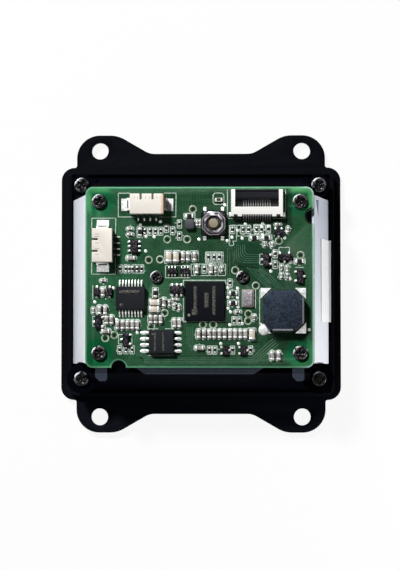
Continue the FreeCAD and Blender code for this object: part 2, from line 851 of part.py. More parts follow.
def main_board():
    """Circuit board with rounded corners, two edge notches and its screw holes."""
    outline = rectangle(board_width / 2, board_height / 2, board_corner_radius)
    plate = placed(slab(outline, board_bottom, board_top), 0, board_centre_y, 0)
    cuts = []
    notch_y = board_centre_y + side_notch_y
    cuts.append(cylinder(board_width / 2, notch_y, side_notch_radius, board_bottom, board_top))
    cuts.append(cylinder(lower_notch_x, board_lower_edge, side_notch_radius, board_bottom, board_top))
    for x, y in corner_points(board_screw_spacing_x, board_screw_spacing_y, board_centre_y):
        cuts.append(bore(x, y, board_screw_shank_radius + screw_hole_clearance, board_bottom, board_top))
    for side in (-1, 1):
        radius = holder_screw_shank_radius + screw_hole_clearance
        cuts.append(bore(side * holder_screw_spacing / 2, board_centre_y, radius, board_bottom, board_top))
    return plate.cut(cuts)


def film_wide_tab():
    """Wide tab of the film with slanted ends, which stands out below the board's lower edge."""
    root = board_lower_edge + film_tab_root
    low = board_lower_edge - film_tab_reach
    low_half = film_tab_half_width - film_tab_slant
    corners = [(-film_tab_half_width, root, 0), (-film_tab_half_width, board_lower_edge, 0),
               (-low_half, low, film_tab_radius), (low_half, low, film_tab_radius),
               (film_tab_half_width, board_lower_edge, 0), (film_tab_half_width, root, 0)]
    return slab(corners, housing_top, board_bottom)


def film_small_tab(left_x):
    """Small tab of the film from its left edge on, with both lower corners cut off."""
    right_x = left_x + film_small_tab_outer - film_small_tab_inner
    root = board_lower_edge + film_tab_root
    low = board_lower_edge - film_small_tab_reach
    corners = [(left_x, root, 0), (left_x, low + film_small_tab_cut, 0),
               (left_x + film_small_tab_cut, low, 0), (right_x - film_small_tab_bevel, low, 0),
               (right_x, low + film_small_tab_bevel, 0), (right_x, root, 0)]
    return slab(corners, housing_top, board_bottom)


def insulating_film():
    """Thin sheet between the board and the housing, with three tabs along the lower edge."""
    half_x = board_width / 2 - film_margin
    half_y = board_height / 2 - film_margin
    sheet = placed(slab(cut_rectangle(half_x, half_y, film_corner_cut), housing_top, board_bottom),
                   0, board_centre_y, 0)
    sheet = joined([sheet, film_wide_tab(), film_small_tab(film_small_tab_inner),
                    film_small_tab(-film_small_tab_outer)])
    cuts = []
    holder_half = holder_screw_spacing / 2 + holder_ear_radius + frame_clearance
    cuts.append(centred_box(0, board_centre_y, 2 * holder_half, holder_body_size + 2 * frame_clearance,
                            housing_top, board_bottom))
    cuts.append(centred_box(0, board_centre_y + aimer_offset_y, aimer_block_width + 2 * frame_clearance,
                            aimer_block_depth + 2 * frame_clearance, housing_top, board_bottom))
    for x, y in light_places(1) + light_places(-1):
        cuts.append(centred_box(x, y, light_width + 2 * light_hole_clearance,
                                light_length + 2 * light_hole_clearance, housing_top, board_bottom))
    for x, y in corner_points(board_screw_spacing_x, board_screw_spacing_y, board_centre_y):
        cuts.append(bore(x, y, board_screw_shank_radius + screw_hole_clearance, housing_top, board_bottom,
                         shank_sides))
    return sheet.cut(cuts)


def illumination_leds():
    """Row of lights on the board's front face in each light box."""
    places = light_places(1) + light_places(-1)
    return [centred_box(x, y, light_width, light_length, board_bottom - light_height, board_bottom)
            for x, y in places]


def image_sensor():
    """Sensor package on the board's front face."""
    return centred_box(0, board_centre_y, sensor_length, sensor_width,
                       board_bottom - sensor_height, board_bottom)


def sensor_room_bottom():
    """Height of the floor of the holder's sensor chamber."""
    return board_bottom - sensor_height - filter_gap


def lens_holder():
    """Holder with two screw ears, a sensor chamber, a filter seat and a threaded neck."""
    body_bottom = board_bottom - holder_body_height
    neck_bottom = body_bottom - holder_neck_height
    pieces = [centred_box(0, 0, holder_body_size, holder_body_size, body_bottom, board_bottom),
              rod(0, 0, holder_neck_radius, neck_bottom, body_bottom, lens_sides)]
    ear_low = board_bottom - holder_ear_height
    for side in (-1, 1):
        x = side * holder_screw_spacing / 2
        pieces.append(rod(x, 0, holder_ear_radius, ear_low, board_bottom, lens_sides))
        pieces.append(box(min(0, x), max(0, x), -holder_ear_radius, holder_ear_radius, ear_low, board_bottom))
    body = joined(pieces)
    room_bottom = sensor_room_bottom()
    cuts = [centred_box(0, 0, sensor_length + 2 * sensor_clearance, sensor_width + 2 * sensor_clearance,
                        room_bottom, board_bottom)]
    seat = filter_size + 2 * filter_clearance
    cuts.append(centred_box(0, 0, seat, seat, room_bottom - filter_thickness, room_bottom))
    cuts.append(bore(0, 0, barrel_radius + barrel_clearance, neck_bottom, barrel_top() + barrel_gap,
                     lens_sides))
    cuts.append(bore(0, 0, barrel_bore_radius, neck_bottom, room_bottom))
    for side in (-1, 1):
        radius = holder_screw_shank_radius + thread_clearance
        cuts.append(bore(side * holder_screw_spacing / 2, 0, radius, ear_low, board_bottom, shank_sides))
    return placed(body.cut(cuts), 0, board_centre_y, 0)


def neck_bottom_height():
    """Front end of the holder's neck."""
    return board_bottom - holder_body_height - holder_neck_height


def barrel_top():
    """Rear end of the lens barrel's thread."""
    return neck_bottom_height() + barrel_thread_length


def infrared_filter():
    """Small glass plate between the sensor and the lens."""
    room_bottom = sensor_room_bottom()
    return centred_box(0, board_centre_y, filter_size, filter_size,
                       room_bottom - filter_thickness, room_bottom)


def lens_barrel():
    """Threaded barrel with a wider front ring and a seat for the front lens."""
    flange_top = neck_bottom_height() - barrel_gap
    flange_bottom = flange_top - barrel_flange_height
    seat_top = flange_bottom + lens_recess
    flange = rod(0, 0, barrel_flange_radius, flange_bottom, flange_top, lens_sides)
    thread = rod(0, 0, barrel_radius, flange_top, barrel_top(), lens_sides)
    seat = bore(0, 0, lens_radius + barrel_clearance, flange_bottom, seat_top, lens_sides)
    hole = bore(0, 0, barrel_bore_radius, flange_bottom, barrel_top())
    return placed(joined([flange, thread]).cut([seat, hole]), 0, board_centre_y, 0)


def front_lens():
    """Glass lens, domed to the front, seated in the barrel."""
    flange_bottom = neck_bottom_height() - barrel_gap - barrel_flange_height
    seat_top = flange_bottom + lens_recess
    edge_bottom = seat_top - lens_edge
    crown_radius = lens_radius * lens_crown_share
    shoulder_radius = lens_radius * lens_shoulder_share
    body = stacked([(crown_radius, edge_bottom - lens_rise),
                    (shoulder_radius, edge_bottom - lens_rise * lens_shoulder_rise_share),
                    (lens_radius, edge_bottom), (lens_radius, seat_top)], lens_sides)
    return placed(body, 0, board_centre_y, 0)


def aimer_led():
    """Aiming light on the board's front face."""
    return centred_box(0, board_centre_y + aimer_offset_y, aimer_light_size, aimer_light_size,
                       board_bottom - aimer_light_height, board_bottom)


def aimer_lens():
    """Clear cup that stands on the board over the aiming light, with a domed front."""
    bottom = board_bottom - aimer_block_height
    cup = centred_box(0, 0, aimer_block_width, aimer_block_depth, bottom, board_bottom)
    hollow = centred_box(0, 0, aimer_block_width - 2 * aimer_wall, aimer_block_depth - 2 * aimer_wall,
                         bottom + aimer_face, board_bottom)
    shoulder_rise = aimer_lens_rise * lens_shoulder_rise_share
    dome = stacked([(aimer_lens_radius * lens_crown_share, bottom - aimer_lens_rise),
                    (aimer_lens_radius * lens_shoulder_share, bottom - shoulder_rise),
                    (aimer_lens_radius, bottom), (aimer_lens_radius, bottom + aimer_face / 2)], lens_sides)
    return placed(joined([cup.cut(hollow), dome]), 0, board_centre_y + aimer_offset_y, 0)


def header_way_places():
    """Positions of the pins along a header."""
    first = -header_pitch * (header_ways - 1) / 2
    return [first + header_pitch * way for way in range(header_ways)]


def header_housing():
    """Header body with its mouth towards local +Y, a plug cavity and two latch slots."""
    body = centred_box(0, 0, header_length, header_depth, 0, header_height)
    mouth = header_depth / 2
    cuts = [box(-header_cavity_half_length, header_cavity_half_length, mouth - header_cavity_depth, mouth,
                header_cavity_low, header_cavity_high)]
    for side in (-1, 1):
        cuts.append(centred_box(side * header_slot_offset, mouth - header_slot_length / 2, header_slot_width,
                                header_slot_length, header_cavity_high, header_height))
    passage = header_pin_width + 2 * header_passage_clearance
    for x in header_way_places():
        cuts.append(box(x - passage / 2, x + passage / 2, -mouth, mouth - header_cavity_depth,
                        header_pin_height - header_passage_clearance,
                        header_pin_height + header_pin_width + header_passage_clearance))
    return body.cut(cuts)


def header_pins():
    """Bent pins, each from the cavity through the rear wall down to its foot on the board."""
    rear = -header_depth / 2
    knee = rear - header_tail_length + header_foot_length
    tip = rear - header_tail_length
    front = header_depth / 2 - header_pin_reach
    top = header_pin_height + header_pin_width
    section = [(front, header_pin_height), (front, top), (knee, top), (knee, header_pin_width / 2),
               (tip, header_pin_width / 2), (tip, 0), (knee + header_pin_width, 0),
               (knee + header_pin_width, header_pin_height)]
    half = header_pin_width / 2
    return [prism_along_x(section, x - half, x + half) for x in header_way_places()]


def header_tabs():
    """Two bent solder tabs that hook onto the header's ends."""
    side_face = header_length / 2
    riser = side_face + tab_setback
    section = [(riser, 0), (side_face + tab_reach, 0), (side_face + tab_reach, tab_thickness),
               (riser + tab_thickness, tab_thickness), (riser + tab_thickness, tab_rise + tab_thickness),
               (side_face, tab_rise + tab_thickness), (side_face, tab_rise), (riser, tab_rise)]
    tab = prism_along_y(section, -tab_half_width, tab_half_width)
    return [tab, mirrored_x(tab)]


def put_header(name, x, y, turn):
    """Write one header's three nodes at its place on the board."""
    save(name + "_housing", [on_board(header_housing(), x, y, turn)])
    save(name + "_pins", [on_board(pin, x, y, turn) for pin in header_pins()])
    save(name + "_tabs", [on_board(tab, x, y, turn) for tab in header_tabs()])


def contact_places():
    """Positions of the contacts along the flat-cable connector."""
    first = -cable_contact_pitch * (cable_contact_count - 1) / 2
    return [first + cable_contact_pitch * way for way in range(cable_contact_count)]


def cable_housing():
    """Base, rear bar and side rails of the flat-cable connector, its mouth towards local +Y."""
    half = cable_housing_half_width
    rail = half - cable_rail_width
    base = box(-half, half, cable_housing_rear, cable_housing_front, 0, cable_base_thickness)
    bar = box(-half, half, cable_housing_rear, cable_bar_front, cable_base_thickness, cable_housing_height)
    right = box(rail, half, cable_bar_front, cable_housing_front, cable_base_thickness, cable_housing_height)
    body = joined([base, bar, right, mirrored_x(right)])
    tunnel = contact_places()[-1] + cable_contact_width / 2 + cable_tunnel_clearance
    passage = box(-tunnel, tunnel, cable_housing_rear, cable_bar_front,
                  cable_base_thickness, cable_base_thickness + cable_tunnel_height)
    hole_end = rail + latch_pin_length
    pin_hole = Part.makeCylinder(latch_pin_radius + latch_pin_clearance, 2 * hole_end,
                                 Vector(-hole_end, latch_pivot_y, latch_pivot_z), Vector(1, 0, 0))
    return body.cut([passage, pin_hole])


def cable_contacts():
    """Flat contact strips with their feet behind the housing."""
    tip = cable_housing_rear - cable_tail_length
    knee = tip + cable_foot_length
    low = cable_base_thickness
    high = low + cable_contact_thickness
    section = [(tip, 0), (knee + cable_contact_thickness, 0), (knee + cable_contact_thickness, low),
               (cable_contact_front, low), (cable_contact_front, high), (knee, high),
               (knee, cable_contact_thickness), (tip, cable_contact_thickness)]
    half = cable_contact_width / 2
    return [prism_along_x(section, x - half, x + half) for x in contact_places()]


def cable_tabs():
    """Solder tabs at the two ends of the flat-cable connector."""
    half = cable_housing_half_width
    tab = box(half, half + cable_tab_width, cable_housing_rear, cable_housing_rear + cable_tab_length,
              0, cable_base_thickness)
    return [tab, mirrored_x(tab)]


def cable_latch():
    """Flip latch lying closed over the cable slot, with a pivot pin at each end."""
    rail = cable_housing_half_width - cable_rail_width
    half = rail - latch_side_clearance
    low = latch_pivot_z - latch_thickness / 2
    high = latch_pivot_z + latch_thickness / 2
    inner = latch_pivot_y - latch_inner_reach
    section = [(inner, low), (latch_free_edge, low), (latch_free_edge, high + latch_grip_height),
               (latch_free_edge - latch_grip_depth, high + latch_grip_height),
               (latch_free_edge - latch_grip_depth, high), (inner, high)]
    plate = prism_along_x(section, -half, half)
    pin_half = rail + latch_pin_length - latch_side_clearance
    pins = Part.makeCylinder(latch_pin_radius, 2 * pin_half,
                             Vector(-pin_half, latch_pivot_y, latch_pivot_z), Vector(1, 0, 0))
    return joined([plate, pins])


def put_cable_connector():
    """Write the flat-cable connector's nodes at its place on the board."""
    x, y = cable_connector_x, cable_connector_y
    save("flat_cable_housing", [on_board(cable_housing(), x, y)])
    save("flat_cable_contacts", [on_board(contact, x, y) for contact in cable_contacts()])
    save("flat_cable_tabs", [on_board(tab, x, y) for tab in cable_tabs()])
    save("cable_latch", [on_board(cable_latch(), x, y)])


def button_base():
    """Square base with a round well for the snap dome and plunger."""
    outline = cut_rectangle(button_size / 2, button_size / 2, button_corner_cut)
    return slab(outline, 0, button_base_height).cut(
        cylinder(0, 0, button_well_radius, button_well_floor, button_base_height))


def button_cover():
    """Sheet-metal cover with an eight-sided collar round the plunger hole."""
    half = button_cover_size / 2
    sheet_top = button_base_height + button_cover_thickness
    sheet = slab(cut_rectangle(half, half, button_corner_cut), button_base_height, sheet_top)
    collar_half = button_collar_width / 2
    collar = slab(cut_rectangle(collar_half, collar_half, button_collar_corner), sheet_top,
                  sheet_top + button_collar_height)
    hole = cylinder(0, 0, button_hole_radius, button_base_height, sheet_top + button_collar_height)
    return joined([sheet, collar]).cut(hole)


def button_plunger():
    """Round plunger held under the cover by its flange."""
    flange_top = button_base_height - plunger_gap
    flange_bottom = flange_top - plunger_flange_thickness
    chamfer = plunger_flange_thickness / 2
    return turned([(0, flange_bottom), (plunger_flange_radius, flange_bottom),
                   (plunger_flange_radius, flange_top), (plunger_radius, flange_top),
                   (plunger_radius, plunger_top - chamfer),
                   (plunger_radius - chamfer, plunger_top), (0, plunger_top)])


def button_dome():
    """Thin snap dome under the plunger."""
    base = button_well_floor
    crown_radius = dome_radius * dome_crown_share
    inner_crown = crown_radius - dome_thickness
    outer = stacked([(dome_radius, base), (crown_radius, base + dome_rise)], lens_sides)
    inner_radius = dome_radius - 2 * dome_thickness
    inner = stacked([(inner_radius, base), (inner_crown, base + dome_rise - dome_thickness)], lens_sides)
    return outer.cut(inner)


def button_terminals():
    """Four bent legs at the button's upper and lower sides."""
    edge = button_size / 2
    section = [(edge, button_leg_height), (edge, button_leg_height + button_leg_thickness),
               (edge + 2 * button_leg_thickness, button_leg_height + button_leg_thickness),
               (edge + 2 * button_leg_thickness, button_leg_thickness),
               (button_leg_reach, button_leg_thickness), (button_leg_reach, 0),
               (edge + button_leg_thickness, 0), (edge + button_leg_thickness, button_leg_height)]
    half = button_leg_width / 2
    legs = []
    for turn in (0, 180):
        for x in (-button_leg_x, button_leg_x):
            legs.append(placed(prism_along_x(section, x - half, x + half), 0, 0, 0, turn))
    return legs


def put_button():
    """Write the button's nodes at its place on the board."""
    x, y = button_x, button_y
    save("button_base", [on_board(button_base(), x, y)])
    save("button_cover", [on_board(button_cover(), x, y)])
    save("button_plunger", [on_board(button_plunger(), x, y)])
    save("button_dome", [on_board(button_dome(), x, y)])
    save("button_terminals", [on_board(leg, x, y) for leg in button_terminals()])


def drafted_body(length, width, z0, z1):
    """Moulded chip body with a parting line at half height."""
    def section(inset, z):
        half_x = length / 2 - inset
        half_y = width / 2 - inset
        return Part.makePolygon([Vector(-half_x, -half_y, z), Vector(half_x, -half_y, z),
                                 Vector(half_x, half_y, z), Vector(-half_x, half_y, z),
                                 Vector(-half_x, -half_y, z)])
    middle = (z0 + z1) / 2
    sections = [section(chip_body_draft, z0), section(0, middle), section(chip_body_draft, z1)]
    return Part.makeLoft(sections, True, True)


def gull_lead(x, body_edge, tip, width, height, foot):
    """Bent lead from the side of a chip body down to its foot, towards local +Y."""
    thickness = lead_thickness
    knee = tip - foot
    low = height - thickness / 2
    high = height + thickness / 2
    section = [(body_edge, low), (body_edge, high), (knee + thickness, high), (knee + thickness, thickness),
               (tip, thickness), (tip, 0), (knee, 0), (knee, low)]
    return prism_along_x(section, x - width / 2, x + width / 2)


def lead_row(count, pitch, body_width, span, width, height, foot):
    """Row of leads along the local +Y side of a body."""
    first = -pitch * (count - 1) / 2
    return [gull_lead(first + pitch * step, body_width / 2, span / 2, width, height, foot)
            for step in range(count)]


def serial_driver():
    """Sixteen-lead interface chip, as body and leads."""
    body = drafted_body(serial_length, serial_width, chip_body_standoff, serial_height)
    height = (chip_body_standoff + serial_height) / 2
    row = lead_row(serial_leads_per_side, serial_pitch, serial_width, serial_span,
                   serial_lead_width, height, lead_foot_length)
    leads = row + [placed(lead, 0, 0, 0, 180) for lead in row]
    return body, leads


def flash_memory():
    """Eight-lead memory chip, as body and leads, its rows to the left and right."""
    body = drafted_body(flash_length, flash_width, chip_body_standoff, flash_height)
    height = (chip_body_standoff + flash_height) / 2
    row = lead_row(flash_leads_per_side, flash_pitch, flash_width, flash_span,
                   flash_lead_width, height, lead_foot_length)
    leads = row + [placed(lead, 0, 0, 0, 180) for lead in row]
    return body, leads


def put_integrated_circuits():
    """Write the three large chips."""
    processor = centred_box(0, 0, processor_width, processor_depth, 0, processor_height)
    foot = centred_box(0, 0, processor_width, processor_depth, 0, processor_standoff)
    pad = centred_box(0, 0, processor_width - 2 * processor_pad_inset,
                      processor_depth - 2 * processor_pad_inset, 0, processor_standoff)
    save("processor", [on_board(joined([processor.cut(foot), pad]), processor_x, processor_y)])
    body, leads = serial_driver()
    save("serial_driver_body", [on_board(body, serial_x, serial_y)])
    save("serial_driver_leads", [on_board(lead, serial_x, serial_y) for lead in leads])
    body, leads = flash_memory()
    save("flash_memory_body", [on_board(body, flash_x, flash_y, 90)])
    save("flash_memory_leads", [on_board(lead, flash_x, flash_y, 90) for lead in leads])


def put_crystal():
    """Write the crystal's base and lid."""
    base = centred_box(0, 0, crystal_width, crystal_length, 0, crystal_base_height)
    lid = centred_box(0, 0, crystal_width - 2 * crystal_lid_inset, crystal_length - 2 * crystal_lid_inset,
                      crystal_base_height, crystal_base_height + crystal_lid_height)
    save("crystal_base", [on_board(base, crystal_x, crystal_y)])
    save("crystal_lid", [on_board(lid, crystal_x, crystal_y)])


def put_buzzer():
    """Write the buzzer's body with its cut corners and side port, and its four corner terminals."""
    half = buzzer_size / 2
    body = slab(cut_rectangle(half, half, buzzer_chamfer), buzzer_standoff, buzzer_height)
    port = Part.makeCylinder(buzzer_port_radius, buzzer_port_depth,
                             Vector(half - buzzer_port_depth, 0, buzzer_height / 2 + buzzer_standoff / 2),
                             Vector(1, 0, 0))
    save("buzzer_body", [on_board(body.cut(port), buzzer_x, buzzer_y)])
    outer = buzzer_terminal_half
    inner = buzzer_terminal_half - buzzer_terminal_leg
    triangle = slab([(outer, outer, 0), (inner, outer, 0), (outer, inner, 0)], 0, buzzer_terminal_thickness)
    save("buzzer_terminals", [on_board(placed(triangle, 0, 0, 0, turn), buzzer_x, buzzer_y)
                              for turn in (0, 90, 180, 270)])


def put_inductor():
    """Write the small power inductor."""
    body = slab(cut_rectangle(inductor_size / 2, inductor_size / 2, inductor_chamfer), 0, inductor_height)
    save("power_inductor", [on_board(body, inductor_x, inductor_y)])


def chip(size):
    """Two-terminal chip along local X."""
    length, width, height = size
    return centred_box(0, 0, length, width, 0, height)


def chips(size, places):
    """One chip at each place."""
    one = chip(size)
    return [on_board(one, x, y, turn) for x, y, turn in places]


def put_small_chips():
    """Write the resistors and capacitors."""
    resistors = chips(small_chip, small_resistor_places) + chips(medium_chip, medium_resistor_places)
    save("chip_resistors", resistors)
    save("small_capacitors", chips(small_capacitor, small_capacitor_places))
    save("chip_capacitors", chips(medium_capacitor, medium_capacitor_places))
    save("large_capacitors", chips(large_capacitor, large_capacitor_places))
    save("indicator_light", [on_board(chip(indicator_size), indicator_x, indicator_y)])


def three_lead_set(body_size, pitch, span, places):
    """Bodies and leads of three-lead transistors: one lead to local -X, two to local +X."""
    width, length, height = body_size
    body = drafted_body(width, length, chip_body_standoff, height)
    lead_height = (chip_body_standoff + height) / 2
    single = placed(gull_lead(0, width / 2, span / 2, transistor_lead_width, lead_height, small_lead_foot),
                    0, 0, 0, 90)
    pair = [placed(gull_lead(side * pitch / 2, width / 2, span / 2, transistor_lead_width, lead_height,
                             small_lead_foot), 0, 0, 0, -90) for side in (-1, 1)]
    bodies = [on_board(body, x, y, turn) for x, y, turn in places]
    leads = [on_board(lead, x, y, turn) for lead in [single] + pair for x, y, turn in places]
    return bodies, leads


def six_lead_set(body_size, pitch, span, width, places):
    """Bodies and leads of chips with three leads to each side along local X."""
    body_width, length, height = body_size
    body = drafted_body(body_width, length, chip_body_standoff, height)
    lead_height = (chip_body_standoff + height) / 2
    row = lead_row(small_chip_leads_per_side, pitch, body_width, span, width, lead_height, small_lead_foot)
    both = [placed(lead, 0, 0, 0, turn) for lead in row for turn in (-90, 90)]
    bodies = [on_board(body, x, y, turn) for x, y, turn in places]
    leads = [on_board(lead, x, y, turn) for lead in both for x, y, turn in places]
    return bodies, leads


def put_small_packages():
    """Write the transistors, small logic chips and diodes."""
    bodies, leads = three_lead_set(transistor_body, transistor_pitch, transistor_span, transistor_places)
    more_bodies, more_leads = three_lead_set(tiny_transistor_body, tiny_transistor_pitch,
                                             tiny_transistor_span, tiny_transistor_places)
    save("transistor_bodies", bodies + more_bodies)
    save("transistor_leads", leads + more_leads)
    bodies, leads = six_lead_set(logic_body, logic_pitch, logic_span, logic_lead_width, logic_places)
    more_bodies, more_leads = six_lead_set(regulator_body, regulator_pitch, regulator_span,
                                           regulator_lead_width, regulator_places)
    save("logic_chip_bodies", bodies + more_bodies)
    save("logic_chip_leads", leads + more_leads)
    width, length, height = diode_body
    body = drafted_body(length, width, chip_body_standoff, height)
    reach = diode_span / 2
    terminal = box(length / 2 - chip_body_draft, reach, -diode_terminal_width / 2, diode_terminal_width / 2,
                   0, chip_body_standoff)
    save("diode_bodies", [on_board(body, x, y, turn) for x, y, turn in diode_places])
    save("diode_terminals", [on_board(piece, x, y, turn) for piece in (terminal, mirrored_x(terminal))
                             for x, y, turn in diode_places])


def put_housing():
    """Write the bezel, window, frame, light boxes and their screws."""
    save("front_bezel", [front_bezel()])
    save("window", [window()])
    save("window_adhesive", [window_adhesive()])
    save("rear_frame", [rear_frame()])
    save("light_box_right", [light_box().cut(wall_groove())])
    save("light_box_left", [mirrored_x(light_box())])
    save("diffuser_right", [diffuser_right()])
    save("diffuser_left", [mirrored_x(diffuser_right())])
    save("rating_label", [rating_label()])
    save("frame_screws", frame_screws())


def put_board_and_camera():
    """Write the board, its film and screws, and the camera and lights under it."""
    save("main_board", [main_board()])
    save("insulating_film", [insulating_film()])
    save("board_screws", board_screws())
    save("holder_screws", holder_screws())
    save("illumination_leds", illumination_leds())
    save("image_sensor", [image_sensor()])
    save("lens_holder", [lens_holder()])
    save("infrared_filter", [infrared_filter()])
    save("lens_barrel", [lens_barrel()])
    save("front_lens", [front_lens()])
    save("aimer_led", [aimer_led()])
    save("aimer_lens", [aimer_lens()])


os.makedirs("parts", exist_ok=True)
put_housing()
put_board_and_camera()
put_header("left_header", left_header_x, left_header_y, 90)
put_header("top_header", top_header_x, top_header_y, 0)
put_cable_connector()
put_button()
put_integrated_circuits()
put_crystal()
put_buzzer()
put_inductor()
put_small_chips()
put_small_packages()
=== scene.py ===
import math
import random

import bmesh
import bpy
from mathutils import Matrix, Vector


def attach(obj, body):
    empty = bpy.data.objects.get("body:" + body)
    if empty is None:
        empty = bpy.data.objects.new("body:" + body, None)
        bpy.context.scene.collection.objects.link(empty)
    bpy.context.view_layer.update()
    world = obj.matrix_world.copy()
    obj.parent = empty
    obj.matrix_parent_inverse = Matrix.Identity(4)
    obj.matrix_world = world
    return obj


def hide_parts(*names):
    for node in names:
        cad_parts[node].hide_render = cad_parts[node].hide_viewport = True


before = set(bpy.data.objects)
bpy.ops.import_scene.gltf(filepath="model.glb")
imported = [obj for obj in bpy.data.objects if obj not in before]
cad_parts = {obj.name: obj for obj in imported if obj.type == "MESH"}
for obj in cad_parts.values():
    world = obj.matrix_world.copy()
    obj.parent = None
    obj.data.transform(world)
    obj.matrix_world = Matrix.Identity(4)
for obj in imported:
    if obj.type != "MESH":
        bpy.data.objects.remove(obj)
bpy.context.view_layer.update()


# Camera: a long lens almost straight above the board, a little low and to the right, so that
# the inner side of the left tray and the lower slope of the frame come into view.
mm = 0.001
camera = bpy.data.objects.new("camera", bpy.data.cameras.new("camera"))
bpy.context.scene.collection.objects.link(camera)
camera.data.sensor_fit = "VERTICAL"
camera.data.sensor_height = 36
camera.data.lens = 120.8
camera.data.clip_start = 0.01
camera.location = Vector((6.6, -17.0, 419.4)) * mm
back = (camera.location - Vector((0.1, -1.05, 20.2)) * mm).normalized()
right = Vector((0, 1, 0)).cross(back).normalized()
camera.rotation_euler = Matrix((right, back.cross(right), back)).transposed().to_euler()
bpy.context.scene.camera = camera


# Floor, white surroundings and two lamps. The floor keeps the shadow that the module throws on
# it and is seen through from below. The larger lamp stands to the upper left, where the
# photograph's highlights are.
class Level:
    """A number that varies over a surface. Sums on it add Math nodes to its finish."""

    def __init__(self, finish, socket):
        self.finish = finish
        self.socket = socket

    def math(self, operation, first, second=0.0):
        return self.finish.node("ShaderNodeMath", {"operation": operation}, {0: first, 1: second})

    def __add__(self, other):
        return self.math("ADD", self, other)

    def __sub__(self, other):
        return self.math("SUBTRACT", self, other)

    def __rsub__(self, other):
        return self.math("SUBTRACT", other, self)

    def __mul__(self, other):
        return self.math("MULTIPLY", self, other)

    def __gt__(self, other):
        return self.math("GREATER_THAN", self, other)

    def __lt__(self, other):
        return self.math("LESS_THAN", self, other)

    def __abs__(self):
        return self.math("ABSOLUTE", self)

    def most(self, other):
        return self.math("MAXIMUM", self, other)

    def least(self, other):
        return self.math("MINIMUM", self, other)

    def root(self):
        return self.math("SQRT", self)

    def fade(self, low, high):
        """0 below low and 1 above high, with a smooth run between."""
        return self.finish.node("ShaderNodeMapRange", {"interpolation_type": "SMOOTHSTEP"},
                                {"Value": self, "From Min": low, "From Max": high})

    __radd__ = __add__
    __rmul__ = __mul__


def connect(tree, socket, value):
    """Put a value on a node's socket, or lead another node's output to it."""
    if isinstance(value, Level):
        value = value.socket
    if isinstance(value, bpy.types.NodeSocket):
        tree.links.new(value, socket)
    elif socket.type == "RGBA":
        socket.default_value = (*value[:3], 1.0)
    else:
        socket.default_value = value


def add_node(tree, kind, settings=None, inputs=None):
    """Add a node: its settings first, then the values or links of its sockets."""
    made = tree.nodes.new(kind)
    for key, value in (settings or {}).items():
        setattr(made, key, value)
    for key, value in (inputs or {}).items():
        connect(tree, made.inputs[key], value)
    return made


def far(east, north):
    """How far a spot lies from a point, out of how far east and north of it it lies."""
    return (east * east + north * north).root()


class Finish:
    """A procedural material with the nodes that vary over it."""

    def __init__(self, name, color=(0.8, 0.8, 0.8), roughness=0.5, constants=None):
        self.material = bpy.data.materials.new(name)
        self.material.use_nodes = True
        self.tree = self.material.node_tree
        self.shader = self.tree.nodes["Principled BSDF"]
        self.set("Base Color", color)
        self.set("Roughness", roughness)
        for socket, value in (constants or {}).items():
            self.set(socket, value)
        where = self.node("ShaderNodeTexCoord", output="Object")
        self.spot = self.node("ShaderNodeVectorMath", {"operation": "SCALE"}, {0: where, "Scale": 1000.0})

    def node(self, kind, settings=None, inputs=None, output=0):
        """Adds a node and gives one of its outputs."""
        return Level(self, add_node(self.tree, kind, settings, inputs).outputs[output])

    def set(self, socket, value):
        """Puts a number, a colour or a level on a socket of the shader."""
        connect(self.tree, self.shader.inputs[socket], value)

    def split(self, vector):
        """X, Y and Z of a vector."""
        apart = add_node(self.tree, "ShaderNodeSeparateXYZ", inputs={0: vector})
        return [Level(self, output) for output in apart.outputs]

    def place(self):
        """X, Y and Z on the piece, in millimetres."""
        return self.split(self.spot)

    def facing(self):
        """X, Y and Z of the way that the surface faces."""
        return self.split(self.node("ShaderNodeNewGeometry", output="Normal"))

    def grain(self, size, detail=2.0):
        """Cloudy noise about 0.5, its patches about this many millimetres across."""
        return self.node("ShaderNodeTexNoise",
                         inputs={"Vector": self.spot, "Scale": 1 / size, "Detail": detail})

    def blend(self, share, first, second):
        """Colour between two colours."""
        return self.node("ShaderNodeMix", {"data_type": "RGBA"}, {0: share, 6: first, 7: second}, output=2)

    def relief(self, height, depth):
        """Bump from a level, its depth in millimetres."""
        self.set("Normal", self.node("ShaderNodeBump", inputs={"Height": height, "Distance": depth * mm}))


def seen_rays(tree):
    """1 for the rays of the camera, of gloss and of glass."""
    path = add_node(tree, "ShaderNodeLightPath").outputs
    either = add_node(tree, "ShaderNodeMath", {"operation": "MAXIMUM"},
                      {0: path["Is Camera Ray"], 1: path["Is Glossy Ray"]})
    return add_node(tree, "ShaderNodeMath", {"operation": "MAXIMUM"},
                    {0: either.outputs[0], 1: path["Is Transmission Ray"]}).outputs[0]


floor_work = bmesh.new()
bmesh.ops.create_grid(floor_work, x_segments=1, y_segments=1, size=1.5)
floor_mesh = bpy.data.meshes.new("floor")
floor_work.to_mesh(floor_mesh)
floor_work.free()
floor = bpy.data.objects.new("floor", floor_mesh)
floor.location.z = -0.05 * mm
bpy.context.scene.collection.objects.link(floor)
paper = Finish("floor_paper", (0.86, 0.86, 0.86), 0.9, {"Specular IOR Level": 0.0})
paper_tree = paper.tree
shine = add_node(paper_tree, "ShaderNodeEmission", inputs={"Strength": 1.0})
share_of_white = add_node(paper_tree, "ShaderNodeMath", {"operation": "MULTIPLY"},
                          {0: seen_rays(paper_tree), 1: 0.92})
with_shadow = add_node(paper_tree, "ShaderNodeMixShader",
                       inputs={0: share_of_white.outputs[0], 1: paper.shader.outputs[0], 2: shine.outputs[0]})
below = add_node(paper_tree, "ShaderNodeNewGeometry").outputs["Backfacing"]
unseen = add_node(paper_tree, "ShaderNodeBsdfTransparent")
one_sided = add_node(paper_tree, "ShaderNodeMixShader",
                     inputs={0: below, 1: with_shadow.outputs[0], 2: unseen.outputs[0]})
connect(paper_tree, paper_tree.nodes["Material Output"].inputs["Surface"], one_sided.outputs[0])
